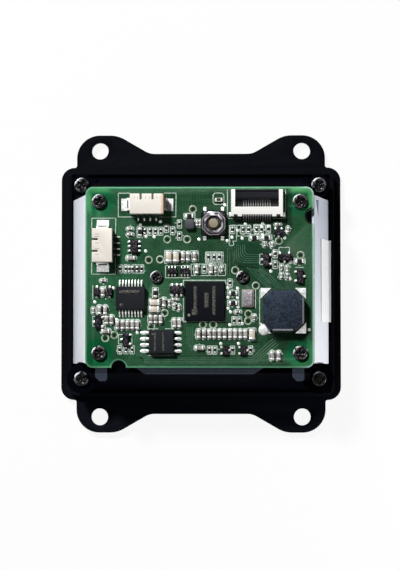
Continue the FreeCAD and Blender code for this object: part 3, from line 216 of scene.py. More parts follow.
floor_mesh.materials.append(paper.material)

world = bpy.data.worlds.new("studio")
world.use_nodes = True
bpy.context.scene.world = world
sky = world.node_tree
background = sky.nodes["Background"]
connect(sky, background.inputs["Color"], (1, 1, 1))
connect(sky, background.inputs["Strength"], 0.02)
seen = add_node(sky, "ShaderNodeBackground", inputs={"Strength": 1.0})
world_mix = add_node(sky, "ShaderNodeMixShader",
                     inputs={0: seen_rays(sky), 1: background.outputs[0], 2: seen.outputs[0]})
connect(sky, sky.nodes["World Output"].inputs["Surface"], world_mix.outputs[0])
bpy.context.scene.view_settings.view_transform = "Standard"


def lamp(name, place, size, watts):
    """Square lamp that looks at the middle of the board."""
    light = bpy.data.lights.new(name, "AREA")
    light.size = size
    light.energy = watts
    made = bpy.data.objects.new(name, light)
    made.location = place
    made.rotation_euler = (Vector((0, 0, 0.012)) - Vector(place)).to_track_quat("-Z", "Y").to_euler()
    bpy.context.scene.collection.objects.link(made)


lamp("key", (-0.29, 0.41, 0.60), 0.10, 7.45)
lamp("side", (0.10, -0.05, 0.011), 0.02, 0.062)


# Bezel: black moulded plate with four ears, a low rim and four screw bosses. Its face has the
# fine even grain that a spark-eroded mould leaves, and every edge is slightly rounded.
def moulded(name, color, roughness, grain, depth, clouding=0.12, constants=None):
    """Moulded plastic with faint clouding and a fine mould grain."""
    finish = Finish(name, color, roughness, constants)
    cloud = finish.grain(3.5)
    finish.set("Base Color", finish.blend(cloud, tuple(c * (1 - clouding) for c in color),
                                          tuple(c * (1 + clouding) for c in color)))
    finish.set("Roughness", (finish.grain(1.2) - 0.5) * 0.16 + roughness)
    finish.relief(finish.grain(grain, 1.0), depth)
    return finish


def tone(red, green, blue):
    """Colour of a tone read off the photograph, 0 to 255."""
    shares = [level / 255 for level in (red, green, blue)]
    return tuple(s / 12.92 if s < 0.04045 else ((s + 0.055) / 1.055) ** 2.4 for s in shares)


def wear(piece, finish):
    """Give a piece one finish."""
    piece.data.materials.clear()
    piece.data.materials.append(finish.material)


def dress(finish, *nodes):
    """Give CAD nodes that stay as they are a finish."""
    for name in nodes:
        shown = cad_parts[name]
        if not shown.material_slots:
            shown.data.materials.append(finish.material)
        for slot in shown.material_slots:
            slot.material = finish.material


def settle(piece):
    """Turn a piece's modifiers into its plain mesh."""
    depsgraph = bpy.context.evaluated_depsgraph_get()
    mesh = bpy.data.meshes.new_from_object(piece.evaluated_get(depsgraph))
    piece.modifiers.clear()
    piece.data = mesh
    mesh.name = piece.name


def new_piece(name, work):
    """Object at the origin with a mesh out of bmesh."""
    mesh = bpy.data.meshes.new(name)
    work.to_mesh(mesh)
    work.free()
    piece = bpy.data.objects.new(name, mesh)
    bpy.context.scene.collection.objects.link(piece)
    return piece


def round_edges(piece, edge, steps=2, angle=35):
    """Round a piece's sharp edges by this many millimetres and keep its flats flat."""
    bevel = piece.modifiers.new("edges", "BEVEL")
    bevel.width = edge * mm
    bevel.segments = steps
    bevel.limit_method = "ANGLE"
    bevel.angle_limit = math.radians(angle)
    bevel.use_clamp_overlap = False
    bevel.harden_normals = True
    piece.data.shade_smooth()
    settle(piece)


def eased(name, node, edge, finish, body="engine", steps=2):
    """Copy of a CAD node with rounded edges, which stands for it."""
    work = bmesh.new()
    work.from_mesh(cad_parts[node].data)
    work.transform(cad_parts[node].matrix_world)
    bmesh.ops.remove_doubles(work, verts=work.verts, dist=1e-6)
    bmesh.ops.dissolve_limit(work, angle_limit=math.radians(1), verts=work.verts, edges=work.edges)
    piece = new_piece(name, work)
    round_edges(piece, edge, steps)
    wear(piece, finish)
    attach(piece, body)
    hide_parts(node)
    return piece


black_plastic = moulded("black_plastic", tone(9, 10, 15), 0.6, 0.16, 0.006,
                        constants={"Specular IOR Level": 0.015})
across, along, up = black_plastic.place()
mould = black_plastic.blend(black_plastic.grain(3.5), tone(8, 9, 13), tone(10, 11, 17))
# Painted light: the plate's colour is lifted towards its lower edge, where it lies in shade.
painted_light_low = (-18.0 - along).fade(0.0, 7.0)
black_plastic.set("Base Color", black_plastic.blend(painted_light_low, mould, tone(15, 18, 24)))
eased("bezel_plate", "front_bezel", 0.18, black_plastic)


# Window pane: clear hardened glass, set a little below the bezel's front face and held in its
# pocket by a frame of thin black tape.
pane = Finish("window_glass", (0.96, 0.98, 0.98), 0.03, {"Transmission Weight": 1.0, "IOR": 1.5})
pane.set("Roughness", pane.grain(6.0) * 0.03 + 0.015)
dress(pane, "window")
tape = moulded("black_tape", (0.012, 0.012, 0.013), 0.85, 0.3, 0.004, constants={"Specular IOR Level": 0.2})
dress(tape, "window_adhesive")


# Rear frame: the same black plastic, screwed on behind the bezel, with two slanted walls, the
# camera's tunnel and four round screw lugs.
# Its finish is a darker, less glossy copy of the bezel's: painted shade.
frame_plastic = moulded("frame_plastic", tone(4, 5, 11), 0.65, 0.16, 0.006,
                        constants={"Specular IOR Level": 0.006})
eased("slanted_frame", "rear_frame", 0.15, frame_plastic)


# Light boxes: two white trays beside the camera that mix the light of the lamps on the board,
# each with a milky sheet in front.
white_plastic = moulded("tray_white", (0.66, 0.69, 0.75), 0.42, 0.5, 0.004, 0.04,
                        {"Specular IOR Level": 0.35})
across, along, up = white_plastic.place()
# Painted light and shade: the right tray has its own tones, darker towards its upper end and lighter low
# down, after how the light falls on its wall; the left tray keeps the plain white.
upwards = (along * 0.036 + 0.5).most(0.0).least(1.0)
right_tray_painted_light = white_plastic.blend(upwards, (0.74, 0.76, 0.81), (0.59, 0.635, 0.73))
white_plastic.set("Base Color", white_plastic.blend(across > 0.0, (0.66, 0.69, 0.75), right_tray_painted_light))
eased("tray_right", "light_box_right", 0.12, white_plastic)
eased("tray_left", "light_box_left", 0.12, white_plastic)
milky = moulded("milky_sheet", (0.84, 0.86, 0.87), 0.5, 0.3, 0.003, 0.02)
dress(milky, "diffuser_left", "diffuser_right")


# Label: a blank white film stuck on the right tray's slanted wall, its lower edge folded onto
# the rim, with faint grey bars.
label_film = Finish("label_film", (0.97, 0.97, 0.97), 0.35)
across, along, up = label_film.place()
bars_foot, bar_pitch = 5.2, 2.1
in_pitch = (up - bars_foot).math("MODULO", up - bars_foot, bar_pitch)
rows = (abs(in_pitch - 0.5) < 0.22) * (abs(along - 0.3) < 6.8) * (up > bars_foot)
label_film.set("Base Color", label_film.blend(rows * (label_film.grain(1.4) * 0.3 + 0.25),
                                              (0.97, 0.97, 0.97), (0.62, 0.62, 0.63)))
label_film.set("Roughness", 0.3 + label_film.grain(2.0) * 0.15)
dress(label_film, "rating_label")


# Screws: blackened steel pan heads with a cross recess. One of each size is turned and cut,
# and the planting tree sets copies at their places.
def planting_tree():
    """Tree that sets a part on the corners of a mesh, turned and sized by their attributes."""
    tree = bpy.data.node_groups.new("planting", "GeometryNodeTree")
    for name, kind in (("Places", "Geometry"), ("Part", "Object"), ("Finish", "Material"),
                       ("Scale", "Float")):
        tree.interface.new_socket(name, in_out="INPUT", socket_type="NodeSocket" + kind)
    tree.interface.new_socket("Planted", in_out="OUTPUT", socket_type="NodeSocketGeometry")
    given = add_node(tree, "NodeGroupInput").outputs
    part = add_node(tree, "GeometryNodeObjectInfo", inputs={"Object": given["Part"]})
    turn = add_node(tree, "GeometryNodeInputNamedAttribute", {"data_type": "FLOAT"}, {"Name": "turn"})
    upright = add_node(tree, "ShaderNodeCombineXYZ", inputs={"Z": turn.outputs[0]})
    size = add_node(tree, "GeometryNodeInputNamedAttribute", {"data_type": "FLOAT_VECTOR"}, {"Name": "size"})
    sized = add_node(tree, "ShaderNodeVectorMath", {"operation": "SCALE"},
                     {0: size.outputs[0], "Scale": given["Scale"]})
    plant = add_node(tree, "GeometryNodeInstanceOnPoints", inputs={
        "Points": given["Places"], "Instance": part.outputs["Geometry"], "Rotation": upright.outputs[0],
        "Scale": sized.outputs[0]})
    real = add_node(tree, "GeometryNodeRealizeInstances", inputs={0: plant.outputs[0]})
    painted = add_node(tree, "GeometryNodeSetMaterial",
                       inputs={"Geometry": real.outputs[0], "Material": given["Finish"]})
    add_node(tree, "NodeGroupOutput", inputs={0: painted.outputs[0]})
    return tree


planting = planting_tree()


def set_input(modifier, name, value):
    """Set a tree's input by the name that it shows."""
    for item in modifier.node_group.interface.items_tree:
        if item.name == name and item.in_out == "INPUT":
            modifier[item.identifier] = value


def planted(name, part, places, finish, body="engine"):
    """Copies of a part, at places given as x, y, z in mm, turn in degrees and size."""
    mesh = bpy.data.meshes.new(name)
    mesh.from_pydata([Vector(place[:3]) * mm for place in places], [], [])
    turns = mesh.attributes.new("turn", "FLOAT", "POINT")
    turns.data.foreach_set("value", [math.radians(place[3]) for place in places])
    sizes = mesh.attributes.new("size", "FLOAT_VECTOR", "POINT")
    sizes.data.foreach_set("vector", [share for place in places
                                      for share in (place[4] if len(place) > 4 else (1, 1, 1))])
    piece = bpy.data.objects.new(name, mesh)
    bpy.context.scene.collection.objects.link(piece)
    modifier = piece.modifiers.new("planting", "NODES")
    modifier.node_group = planting
    set_input(modifier, "Part", part)
    set_input(modifier, "Finish", finish.material)
    set_input(modifier, "Scale", 1.0)
    settle(piece)
    bpy.data.objects.remove(part)
    wear(piece, finish)
    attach(piece, body)
    return piece


def turned(name, section, steps=32):
    """Part turned about Z from a section given as radius and height in mm."""
    work = bmesh.new()
    corners = [work.verts.new(Vector((radius, 0, height)) * mm) for radius, height in section]
    edges = [work.edges.new(pair) for pair in zip(corners, corners[1:])]
    bmesh.ops.spin(work, geom=corners + edges, cent=(0, 0, 0), axis=(0, 0, 1),
                   angle=2 * math.pi, steps=steps, use_duplicate=False)
    bmesh.ops.remove_doubles(work, verts=work.verts, dist=1e-7)
    bmesh.ops.recalc_face_normals(work, faces=work.faces)
    part = new_piece(name, work)
    part.data.shade_smooth()
    part.data.set_sharp_from_angle(angle=math.radians(40))
    return part


def add_block(work, low, high):
    """Block between two corners in mm."""
    made = bmesh.ops.create_cube(work, size=1.0)["verts"]
    low, high = Vector(low), Vector(high)
    for corner in made:
        corner.co = Vector([(low[i] + high[i]) / 2 + corner.co[i] * (high[i] - low[i])
                            for i in range(3)]) * mm
    return made


def screw_part(name, head, height, shank, length):
    """Pan-head screw with a cross recess, its head's underside at height zero."""
    part = turned(name, [
        (0, -length), (shank, -length), (shank, 0), (head, 0), (head, height * 0.42),
        (head * 0.97, height * 0.62), (head * 0.88, height * 0.82), (head * 0.7, height * 0.95),
        (head * 0.4, height), (0, height)], 40)
    work = bmesh.new()
    reach, half, floor_z = head * 0.72, head * 0.19, height * 0.3
    for long_x, long_y in ((reach, half), (half, reach)):
        for corner in add_block(work, (-long_x, -long_y, floor_z), (long_x, long_y, height * 1.4)):
            if corner.co.z < height * 0.5 * mm:
                corner.co.x *= 0.75
                corner.co.y *= 0.75
    cutter = new_piece(name + "_cutter", work)
    cut = part.modifiers.new("recess", "BOOLEAN")
    cut.object = cutter
    cut.solver = "EXACT"
    cut.use_self = True
    settle(part)
    bpy.data.objects.remove(cutter)
    round_edges(part, 0.06, 1, 50)
    return part


black_steel = Finish("black_steel", tone(12, 11, 13), 0.3, {"Specular IOR Level": 0.12})
east, north, leaning = black_steel.facing()
slope = leaning.fade(0.2, 0.45) * leaning.fade(0.98, 0.85)
# Painted highlight: a white glint on the slopes that face the upper-left lamp.
painted_glint = (north - east).fade(0.6, 0.95) * slope
worn = (1.0 - painted_glint) * slope * black_steel.grain(0.9).fade(0.44, 0.6)
across, along, up = black_steel.place()
# Painted shade: the floors of the cross recesses darker.
recess_painted_shade = leaning.fade(0.9, 0.97) * ((up < 11.8) + (up > 15.0) * (up < 20.9))
# Painted sheen: the flat tops mottled lighter than the sides.
top_painted_sheen = leaning.fade(0.9, 0.98) * (black_steel.grain(1.2) * 0.8 + 0.3).least(1.0)
steel = black_steel.blend(top_painted_sheen, tone(12, 11, 14), tone(27, 24, 27))
steel = black_steel.blend(worn, steel, tone(92, 89, 92))
steel = black_steel.blend(recess_painted_shade, steel, tone(5, 4, 6))
painted_glint = painted_glint * black_steel.grain(0.9).fade(0.35, 0.5)
black_steel.set("Base Color", black_steel.blend(painted_glint, steel, tone(236, 238, 238)))
black_steel.set("Roughness", black_steel.grain(0.5) * 0.2 + 0.12)
black_steel.relief(black_steel.grain(0.25), 0.012)


lug_top, board_top, board_shift = 11.0, 20.2, 0.6
side_x, side_y = 25.35, 20.7
frame_places = [(-side_x, -side_y, lug_top, 20), (-side_x, side_y, lug_top, 55),
                (side_x, -side_y, lug_top, 90), (side_x, side_y, lug_top, 125)]
frame_screws = planted("housing_screws", screw_part("housing_screw", 1.6, 1.2, 0.85, 6.6), frame_places,
                       black_steel)
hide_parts("frame_screws")


# Camera under the board: a black screwed holder with a threaded lens barrel, its sensor and
# filter, and the two small screws whose heads sit in the middle of the board.
eased("camera_holder", "lens_holder", 0.15, black_plastic)
eased("barrel", "lens_barrel", 0.12, black_plastic)
coated = Finish("coated_glass", (0.10, 0.12, 0.2), 0.05, {"Coat Weight": 1.0, "IOR": 1.6})
coated.set("Roughness", coated.grain(2.0) * 0.04 + 0.02)
dress(coated, "front_lens", "infrared_filter")
package = moulded("sensor_package", tone(66, 60, 54), 0.5, 0.2, 0.004)
dress(package, "image_sensor")
holder_screws = planted("camera_screws", screw_part("camera_screw", 1.35, 0.9, 0.7, 3.6),
                        [(-9, 0.6, board_top, 30), (9, 0.6, board_top, 75)], black_steel)
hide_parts("holder_screws")


# Aiming light: a lamp on the board behind a clear lens block, moulded in one piece with its
# legs, below the camera. The lamps of the light boxes are of the same kind.
clear = Finish("clear_moulding", (0.97, 0.98, 0.97), 0.06, {"Transmission Weight": 1.0, "IOR": 1.49})
clear.set("Roughness", clear.grain(3.0) * 0.06 + 0.03)
dress(clear, "aimer_lens")
lamp_white = moulded("lamp_package", tone(236, 226, 176), 0.35, 0.3, 0.003)
dress(lamp_white, "aimer_led", "illumination_leds")


# Insulating film: a thin smoke-grey sheet between the board and the frame. Its wide tab shows
# below the board's lower edge, and two small tabs at the corners. Behind the board's two notches
# it is painted black as painted shade, and the strip next to the board's lower edge is painted
# lighter as painted light.
film = moulded("smoke_film", tone(30, 38, 54), 0.3, 0.8, 0.006, 0.2, {"Specular IOR Level": 0.38})
half_x, half_y = 23.9, 18.925
side_notch_y, lower_notch_x = 12.8, -16.9
across, along, up = film.place()
along = along - board_shift
# Painted shade: black and fully metallic round the board's two notches, where shade falls.
notch_painted_shade = (far(across - half_x, along - side_notch_y) < 1.9).most(
    far(across - lower_notch_x, along + half_y) < 1.56)
smoke = film.blend(film.grain(3.5), tone(27, 34, 49), tone(32, 41, 58))
# Painted light: the film lighter and bluer next to the board's lower edge, where the board shades it.
smoke = film.blend((along + 19.92).fade(0.0, 0.2), smoke, tone(88, 104, 134))
film.set("Base Color", film.blend(notch_painted_shade, smoke, tone(7, 5, 8)))
film.set("Metallic", notch_painted_shade)
dress(film, "insulating_film")


# Board: glass-fibre sheet under a green lacquer. A mint band of bare laminate runs along its
# edges, the copper round the four corner screws shows brighter through the lacquer, and faint
# cloudiness and weave keep the green uneven.
lacquer = Finish("green_lacquer", tone(40, 78, 52), 0.4, {"Specular IOR Level": 0.05})
across, along, up = lacquer.place()
along = along - board_shift
corner = 1.6
past_x = (abs(across) - (half_x - corner)).most(0.0)
past_y = (abs(along) - (half_y - corner)).most(0.0)
to_edge = corner - far(past_x, past_y)
to_edge = to_edge.least(half_x - abs(across)).least(half_y - abs(along))
green = lacquer.blend(lacquer.grain(7.0, 3.0).fade(0.35, 0.65), tone(31, 72, 44), tone(45, 74, 52))
green = lacquer.blend((across * -0.045).most(0.0).least(1.0) * 0.8, green, tone(40, 98, 64))
from_screw = far(abs(across) - 21.0, abs(along) - 15.85)
slant = math.sqrt(0.5)
for direction, patch in ((across, 4.1), (along, 5.3), ((across + along) * slant, 6.1),
                         ((across - along) * slant, 4.7)):
    line = direction.math("PINGPONG", direction, 0.29) < 0.075
    shown = lacquer.grain(patch, 1.0).fade(0.5, 0.58) * (17.5 - across).fade(0.0, 1.0) * 0.28
    green = lacquer.blend(line * shown, green, tone(70, 110, 84))
green = lacquer.blend(lacquer.grain(1.7).fade(0.52, 0.66) * 0.35, green, tone(22, 52, 34))
pad = (lacquer.grain(1.6) * 1.2 + from_screw - 0.6).fade(3.9, 2.3)
green = lacquer.blend(pad, green, tone(14, 96, 58))
pour = (across - 8.2).fade(0.0, 0.5) * (18.2 - across).fade(0.0, 0.5) * (along + 2.4).fade(0.0, 0.5)
pour = pour * (7.4 - along).fade(0.0, 0.5)
green = lacquer.blend(pour * 0.72, green, tone(20, 56, 38))
# Painted shadow: dark green below and to the right of the cable connector.
socket_painted_shadow = (across - 5.2).fade(0.0, 1.6) * (19.7 - across).fade(0.0, 0.7) * (along - 8.4).fade(0.0, 1.6)
socket_painted_shadow = socket_painted_shadow * (13.2 - along).fade(0.0, 1.0).most((across - 18.1).fade(0.0, 0.3))
green = lacquer.blend(socket_painted_shadow * 0.75, green, tone(12, 30, 20))
green = lacquer.blend((across - 19.8).fade(0.0, 0.4) * (along > -4.0) * 0.5, green, tone(20, 72, 40))
# Painted shadow: dark below the buzzer.
buzzer_painted_shadow = (across - 13.4).fade(0.0, 1.5) * (22.7 - across).fade(0.0, 0.6) * (-11.4 - along).fade(0.0, 0.5)
green = lacquer.blend(buzzer_painted_shadow * (along + 14.8).fade(0.0, 2.0) * 0.7, green, tone(8, 26, 20))
green = lacquer.blend(lacquer.grain(0.45, 1.0).fade(0.3, 0.7) * 0.1, green, tone(88, 120, 100))
glow = pad * to_edge.fade(1.7, 0.3) * ((along > 0.0) * 0.4 + (across > 0.0) * 0.25 + 0.02)
green = lacquer.blend(glow, green, tone(104, 190, 122))
lower_left = (across < 0.0) * (along < 0.0) * pad
green = lacquer.blend(lower_left * 0.5, green, tone(6, 94, 54))
notch_rim = far(across - lower_notch_x, along + half_y).fade(1.97, 1.72)
green = lacquer.blend(notch_rim * 0.8, green, tone(104, 166, 132))
# Painted shade: a dark ring round the side notch.
side_notch_painted_shade = far(across - half_x, along - side_notch_y) < 1.9
green = lacquer.blend(side_notch_painted_shade, green, tone(9, 20, 14))
hatch = (abs(abs(across + 10.95) - 4.95) < 1.15) * (abs(along - 15.1) < 2.35)
green = lacquer.blend(hatch * (along.math("PINGPONG", along, 0.2) < 0.1) * 0.6, green, tone(24, 40, 30))
rim = lacquer.blend((across - 20.0).fade(0.0, 3.0), tone(104, 172, 134), tone(164, 204, 186))
green = lacquer.blend((lacquer.grain(1.1) * 0.16 + to_edge).fade(0.62, 0.1), green, rim)
green = lacquer.blend(up < 20.12, green, tone(110, 150, 118))
lacquer.set("Base Color", green)
lacquer.set("Roughness", lacquer.grain(2.5) * 0.2 + 0.32)
lacquer.relief(lacquer.grain(0.5), 0.006)
eased("circuit_board", "main_board", 0.05, lacquer, steps=1)


# Print on the board: pale thin frames round the parts, a few thick bars and two ovals, laid
# down as flat ribbons along their lines. Lettering is left out.
def ribbon_tree():
    """Tree that lays a flat ribbon along the edges of a mesh."""
    tree = bpy.data.node_groups.new("ribbon", "GeometryNodeTree")
    for name, kind in (("Lines", "Geometry"), ("Width", "Float"), ("Height", "Float"), ("Fillet", "Float"),
                       ("Finish", "Material")):
        tree.interface.new_socket(name, in_out="INPUT", socket_type="NodeSocket" + kind)
    tree.interface.new_socket("Ribbon", in_out="OUTPUT", socket_type="NodeSocketGeometry")
    given = add_node(tree, "NodeGroupInput").outputs
    curve = add_node(tree, "GeometryNodeMeshToCurve", inputs={"Mesh": given["Lines"]})
    fillet = add_node(tree, "GeometryNodeFilletCurve", {"mode": "POLY"}, {
        "Curve": curve.outputs[0], "Count": 4, "Radius": given["Fillet"], "Limit Radius": True})
    upright = add_node(tree, "GeometryNodeSetCurveNormal", {"mode": "Z_UP"}, {"Curve": fillet.outputs[0]})
    profile = add_node(tree, "GeometryNodeCurvePrimitiveQuadrilateral",
                       inputs={"Width": given["Width"], "Height": given["Height"]})
    sweep = add_node(tree, "GeometryNodeCurveToMesh", inputs={
        "Curve": upright.outputs[0], "Profile Curve": profile.outputs[0], "Fill Caps": True})
    real = add_node(tree, "GeometryNodeRealizeInstances", inputs={0: sweep.outputs[0]})
    painted = add_node(tree, "GeometryNodeSetMaterial",
                       inputs={"Geometry": real.outputs[0], "Material": given["Finish"]})
    add_node(tree, "NodeGroupOutput", inputs={0: painted.outputs[0]})
    return tree


ribbon = ribbon_tree()


def ribbons(name, lines, width, finish, fillet=0.0, lift=0.0, height=0.02, body="engine"):
    """Flat ribbons along lines given by their corners in the board's frame, in mm."""
    points, edges = [], []
    for line in lines:
        start = len(points)
        points += [Vector((x, y + board_shift, board_top + lift)) * mm for x, y in line]
        edges += [(start + i, start + i + 1) for i in range(len(line) - 1)]
        if line[0] == line[-1]:
            points.pop()
            edges[-1] = (edges[-1][0], start)
    mesh = bpy.data.meshes.new(name)
    mesh.from_pydata(points, edges, [])
    piece = bpy.data.objects.new(name, mesh)
    bpy.context.scene.collection.objects.link(piece)
    modifier = piece.modifiers.new("ribbon", "NODES")
    modifier.node_group = ribbon
    for key, value in (("Width", width * mm), ("Height", height * mm), ("Fillet", fillet * mm),
                       ("Finish", finish.material)):
        set_input(modifier, key, value)
    settle(piece)
    wear(piece, finish)
    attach(piece, body)
    return piece


def frame_line(x0, x1, y0, y1):
    """Closed rectangle."""
    return [(x0, y0), (x1, y0), (x1, y1), (x0, y1), (x0, y0)]


def arc(x, y, radius, start, end, steps=10):
    """Arc about a point, in degrees."""
    angles = [math.radians(start + (end - start) * i / steps) for i in range(steps + 1)]
    return [(x + radius * math.cos(a), y + radius * math.sin(a)) for a in angles]


def flecked(name, first, second, roughness, constants, patch, fine, depth, edges=None):
    """Finish in two tones that pass into each other in small patches, with a fine relief."""
    finish = Finish(name, first, roughness, constants)
    cloud = finish.grain(patch)
    if edges:
        cloud = cloud.fade(*edges)
    finish.set("Base Color", finish.blend(cloud, first, second))
    finish.relief(finish.grain(fine), depth)
    return finish


print_white = flecked("print_white", tone(156, 178, 164), tone(214, 224, 214), 0.6,
                      {"Specular IOR Level": 0.2}, patch=0.5, fine=0.3, depth=0.004, edges=(0.3, 0.7))
print_lines = [
    [(-14.5, 17.6), (-17.0, 17.6), (-17.0, 12.6), (-13.4, 12.6)],
    [(-8.5, 12.6), (-4.95, 12.6), (-4.9, 17.6), (-7.4, 17.6)],
    [(-22.55, 3.0), (-22.55, 0.6), (-17.55, 0.6), (-17.65, 4.05)],
    [(-17.6, 9.0), (-17.5, 12.35), (-22.55, 12.35), (-22.55, 10.2)],
    [(5.85, 12.3), (5.85, 18.3)], [(18.0, 12.3), (18.0, 18.3)], [(5.85, 12.3), (8.6, 12.3)],
    [(15.3, 12.3), (18.0, 12.3)],
    frame_line(-7.1, -2.0, -0.15, 2.4), frame_line(-6.1, -3.5, -3.9, -1.5),
    [(12.55, -2.6), (12.55, -11.45)], [(21.5, -4.2), (21.5, -9.8)], [(15.1, -11.45), (19.4, -11.45)],
    [(11.7, -2.6), (11.7, -6.5)], frame_line(12.6, 15.1, 2.6, 4.8), frame_line(16.6, 18.8, 2.9, 6.2),
    frame_line(-22.3, -20.1, -10.3, -8.2), frame_line(-16.9, -14.1, -14.0, -12.0),
    [(2.85, 15.6), (3.25, 15.2), (4.7, 15.2), (5.1, 15.6), (5.1, 17.2), (4.7, 17.6), (3.25, 17.6),
     (2.85, 17.2), (2.85, 15.6)],
    [(-22.3, -1.7), (-22.3, -4.7)], [(-19.6, -1.7), (-19.6, -4.7)], [(20.0, 2.0), (21.8, 2.0)],
    [(-11.0, -16.3), (-5.2, -16.3)], [(-10.8, -10.8), (-8.6, -10.8)], [(-7.2, -10.8), (-5.4, -10.8)],
    frame_line(6.28, 7.74, 7.5, 10.84), arc(9.08, 9.5, 0.62, 0, 360, 14),
    frame_line(7.88, 10.68, 8.57, 10.84),
    frame_line(11.34, 13.74, 9.9, 10.97), arc(11.94, 9.3, 0.5, 0, 360, 12), arc(6.68, 7.0, 0.5, 0, 360, 12),
    arc(15.14, 6.96, 0.55, 0, 360, 12), frame_line(15.61, 17.6, 8.56, 9.76),
    frame_line(-1.86, -0.26, 3.24, 5.51),
    frame_line(1.28, 4.94, 2.97, 5.24), frame_line(-1.72, 3.47, 0.3, 2.71), frame_line(3.87, 5.47, 0.3, 2.7),
]
silk = ribbons("print_lines", print_lines, 0.17, print_white, 0.1, 0.012)
bars = ribbons("print_bars", [[(-3.4, -8.4), (-3.4, -9.3), (-2.6, -9.3)], [(-10.8, -16.3), (-5.4, -16.3)]],
               0.4, print_white, 0.0, 0.014)
ribbons("processor_frame", [frame_line(-3.37, 5.47, -9.27, -0.67)], 0.26, print_white, 0.0, 0.013)


# Copper tracks under the lacquer stand a little proud and catch the light: long runs along the
# lower edge, a nest of curves beside the connector, and short stubs from the small parts.
track = flecked("track_green", tone(50, 90, 67), tone(76, 112, 90), 0.35,
                {"Specular IOR Level": 0.12}, patch=2.0, fine=0.5, depth=0.004, edges=(0.3, 0.7))
tracks = [
    [(5.87, 7.2), (5.87, 0.4)], [(6.34, 7.2), (6.34, -0.07)], [(7.04, 6.9), (7.04, 2.78)],
    [(7.37, 6.9), (7.37, 3.2)], [(12.1, 1.05), (13.1, 0.4), (15.7, -2.42)],
]
for i in range(5):
    step = 0.42 * i
    tracks.append([(7.77 + step, 6.8), (7.77 + step, 3.72 + step * 0.9), (9.0 + step * 0.6, 2.98 + step),
                   (12.5, 2.98 + step)])
for i in range(6):
    step = 0.62 * i
    tracks.append([(7.4 + step * 0.9, 2.5 - step * 0.12), (9.6 + step * 1.05, 2.3 - step * 0.2),
                   (11.4 + step * 1.1, 0.5 - step * 0.05), (14.4 + step * 0.95, -2.35)])
for i in range(4):
    step = 0.36 * i
    tracks.append([(-14.0 + step, -10.2 - step), (-13.0 + step, -16.6 - step * 0.3),
                   (-11.5, -16.9 - step), (11.0 + step * 0.6, -16.9 - step),
                   (13.6 + step, -14.4 - step), (15.4 + step, -12.9 - step)])
for i in range(4):
    step = 0.4 * i
    tracks.append([(5.0 + step, 7.4), (6.4 + step, 5.6)])
    tracks.append([(-2.6 + step, -10.4), (-2.6 + step, -13.4 - step), (-1.6 + step, -15.4)])
    tracks.append([(5.4, -1.8 - 0.5 * i), (7.2, -1.8 - 0.5 * i), (8.3, -2.9 - 0.5 * i)])
for i in range(5):
    step, slip = 0.5 * i, 0.45 * i
    tracks.append([(-16.2 + step, 12.0), (-16.2 + step, 10.8 - 0.3 * i), (-14.4 + step, 9.0 - 0.3 * i)])
    tracks.append([(-0.6 + slip, -0.2), (-0.6 + slip, 0.6 + 0.1 * i), (0.4 + slip, 1.4 + 0.1 * i)])
runs = ribbons("tracks", tracks, 0.17, track, 0.6, 0.004)


# Test pads and vias: tinned rings round drilled holes with the dark hole inside, and small dots
# of solder on the vias between the parts.
def ring_part(name, outer, inner, height):
    """Flat ring with a slightly rounded rim."""
    return turned(name, [(inner, 0), (inner, height * 0.7), (inner + 0.04, height), (outer - 0.06, height),
                         (outer, height * 0.5), (outer, 0)], 24)


tin = flecked("tinned_metal", tone(200, 204, 200), tone(246, 248, 244), 0.32,
              {"Metallic": 0.5}, patch=0.8, fine=0.35, depth=0.01, edges=(0.3, 0.7))
tin.set("Roughness", tin.grain(0.6) * 0.3 + 0.2)
ring_tin = flecked("ring_tin", tone(122, 138, 118), tone(182, 190, 172), 0.4,
                   {"Metallic": 0.2}, patch=0.7, fine=0.3, depth=0.008, edges=(0.35, 0.65))
hole_dark = flecked("hole_dark", tone(8, 20, 14), tone(20, 40, 28), 0.7,
                    {"Specular IOR Level": 0.1}, patch=0.4, fine=0.2, depth=0.004)
pads = [(-6.75, 7.9), (-2.6, 7.9), (-1.4, 14.2), (-10.6, 3.6), (-8.25, 3.7), (7.45, 1.4), (11.75, -1.8),
        (16.6, 7.55), (21.1, 4.6), (10.2, -7.7), (10.15, -9.15), (0.7, -9.95), (2.85, -9.95), (-7.3, -7.5),
        (-19.7, -12.75), (-17.8, -12.1), (-10.1, -10.5)]
vias = [(-8.2, 11.65), (-11.25, 5.45), (-0.1, 7.9), (5.3, 15.1), (5.8, 7.6), (19.1, 3.1), (4.45, -13.9),
        (8.15, -13.9), (-13.0, -11.6), (-17.3, -8.9), (-20.45, -10.4), (22.85, -11.0), (-18.0, -2.3),
        (7.94, 9.78), (6.81, 8.32), (8.94, 8.12), (13.25, 8.78), (13.85, 6.99), (14.45, 10.57),
        (13.05, 10.5), (14.51, 9.51), (18.37, 9.5), (17.8, 8.2), (-5.0, 1.1), (-3.4, 1.6),
        (5.95, -2.3), (5.95, -4.25), (6.0, -6.55), (7.95, -2.35), (7.95, -4.3), (8.05, -6.25),
        (6.5, -7.3), (6.35, -10.0), (8.9, -9.7), (11.6, -8.1), (-11.2, 8.5), (-9.5, 8.45),
        (-12.4, 11.0), (-17.2, -5.6), (-17.25, -6.4), (-21.9, -5.2), (18.9, 3.0), (15.7, 5.2), (14.9, 1.2),
        (18.9, -0.4), (16.2, 11.0), (13.2, 11.2), (9.6, 11.1)]


def on_board(spots):
    """Places on the board's upper face."""
    return [(x, y + board_shift, board_top, 0) for x, y in spots]


test_pad = ring_part("test_pad", 0.84, 0.58, 0.035)
planted("test_pads", test_pad, on_board(pads), ring_tin)
pad_hole = turned("pad_hole", [(0, 0.012), (0.3, 0.012), (0.34, 0)], 16)
planted("pad_holes", pad_hole, on_board(pads), hole_dark)
via = turned("via", [(0, 0.04), (0.2, 0.035), (0.32, 0.015), (0.34, 0)], 12)
planted("vias", via, on_board(vias), tin)


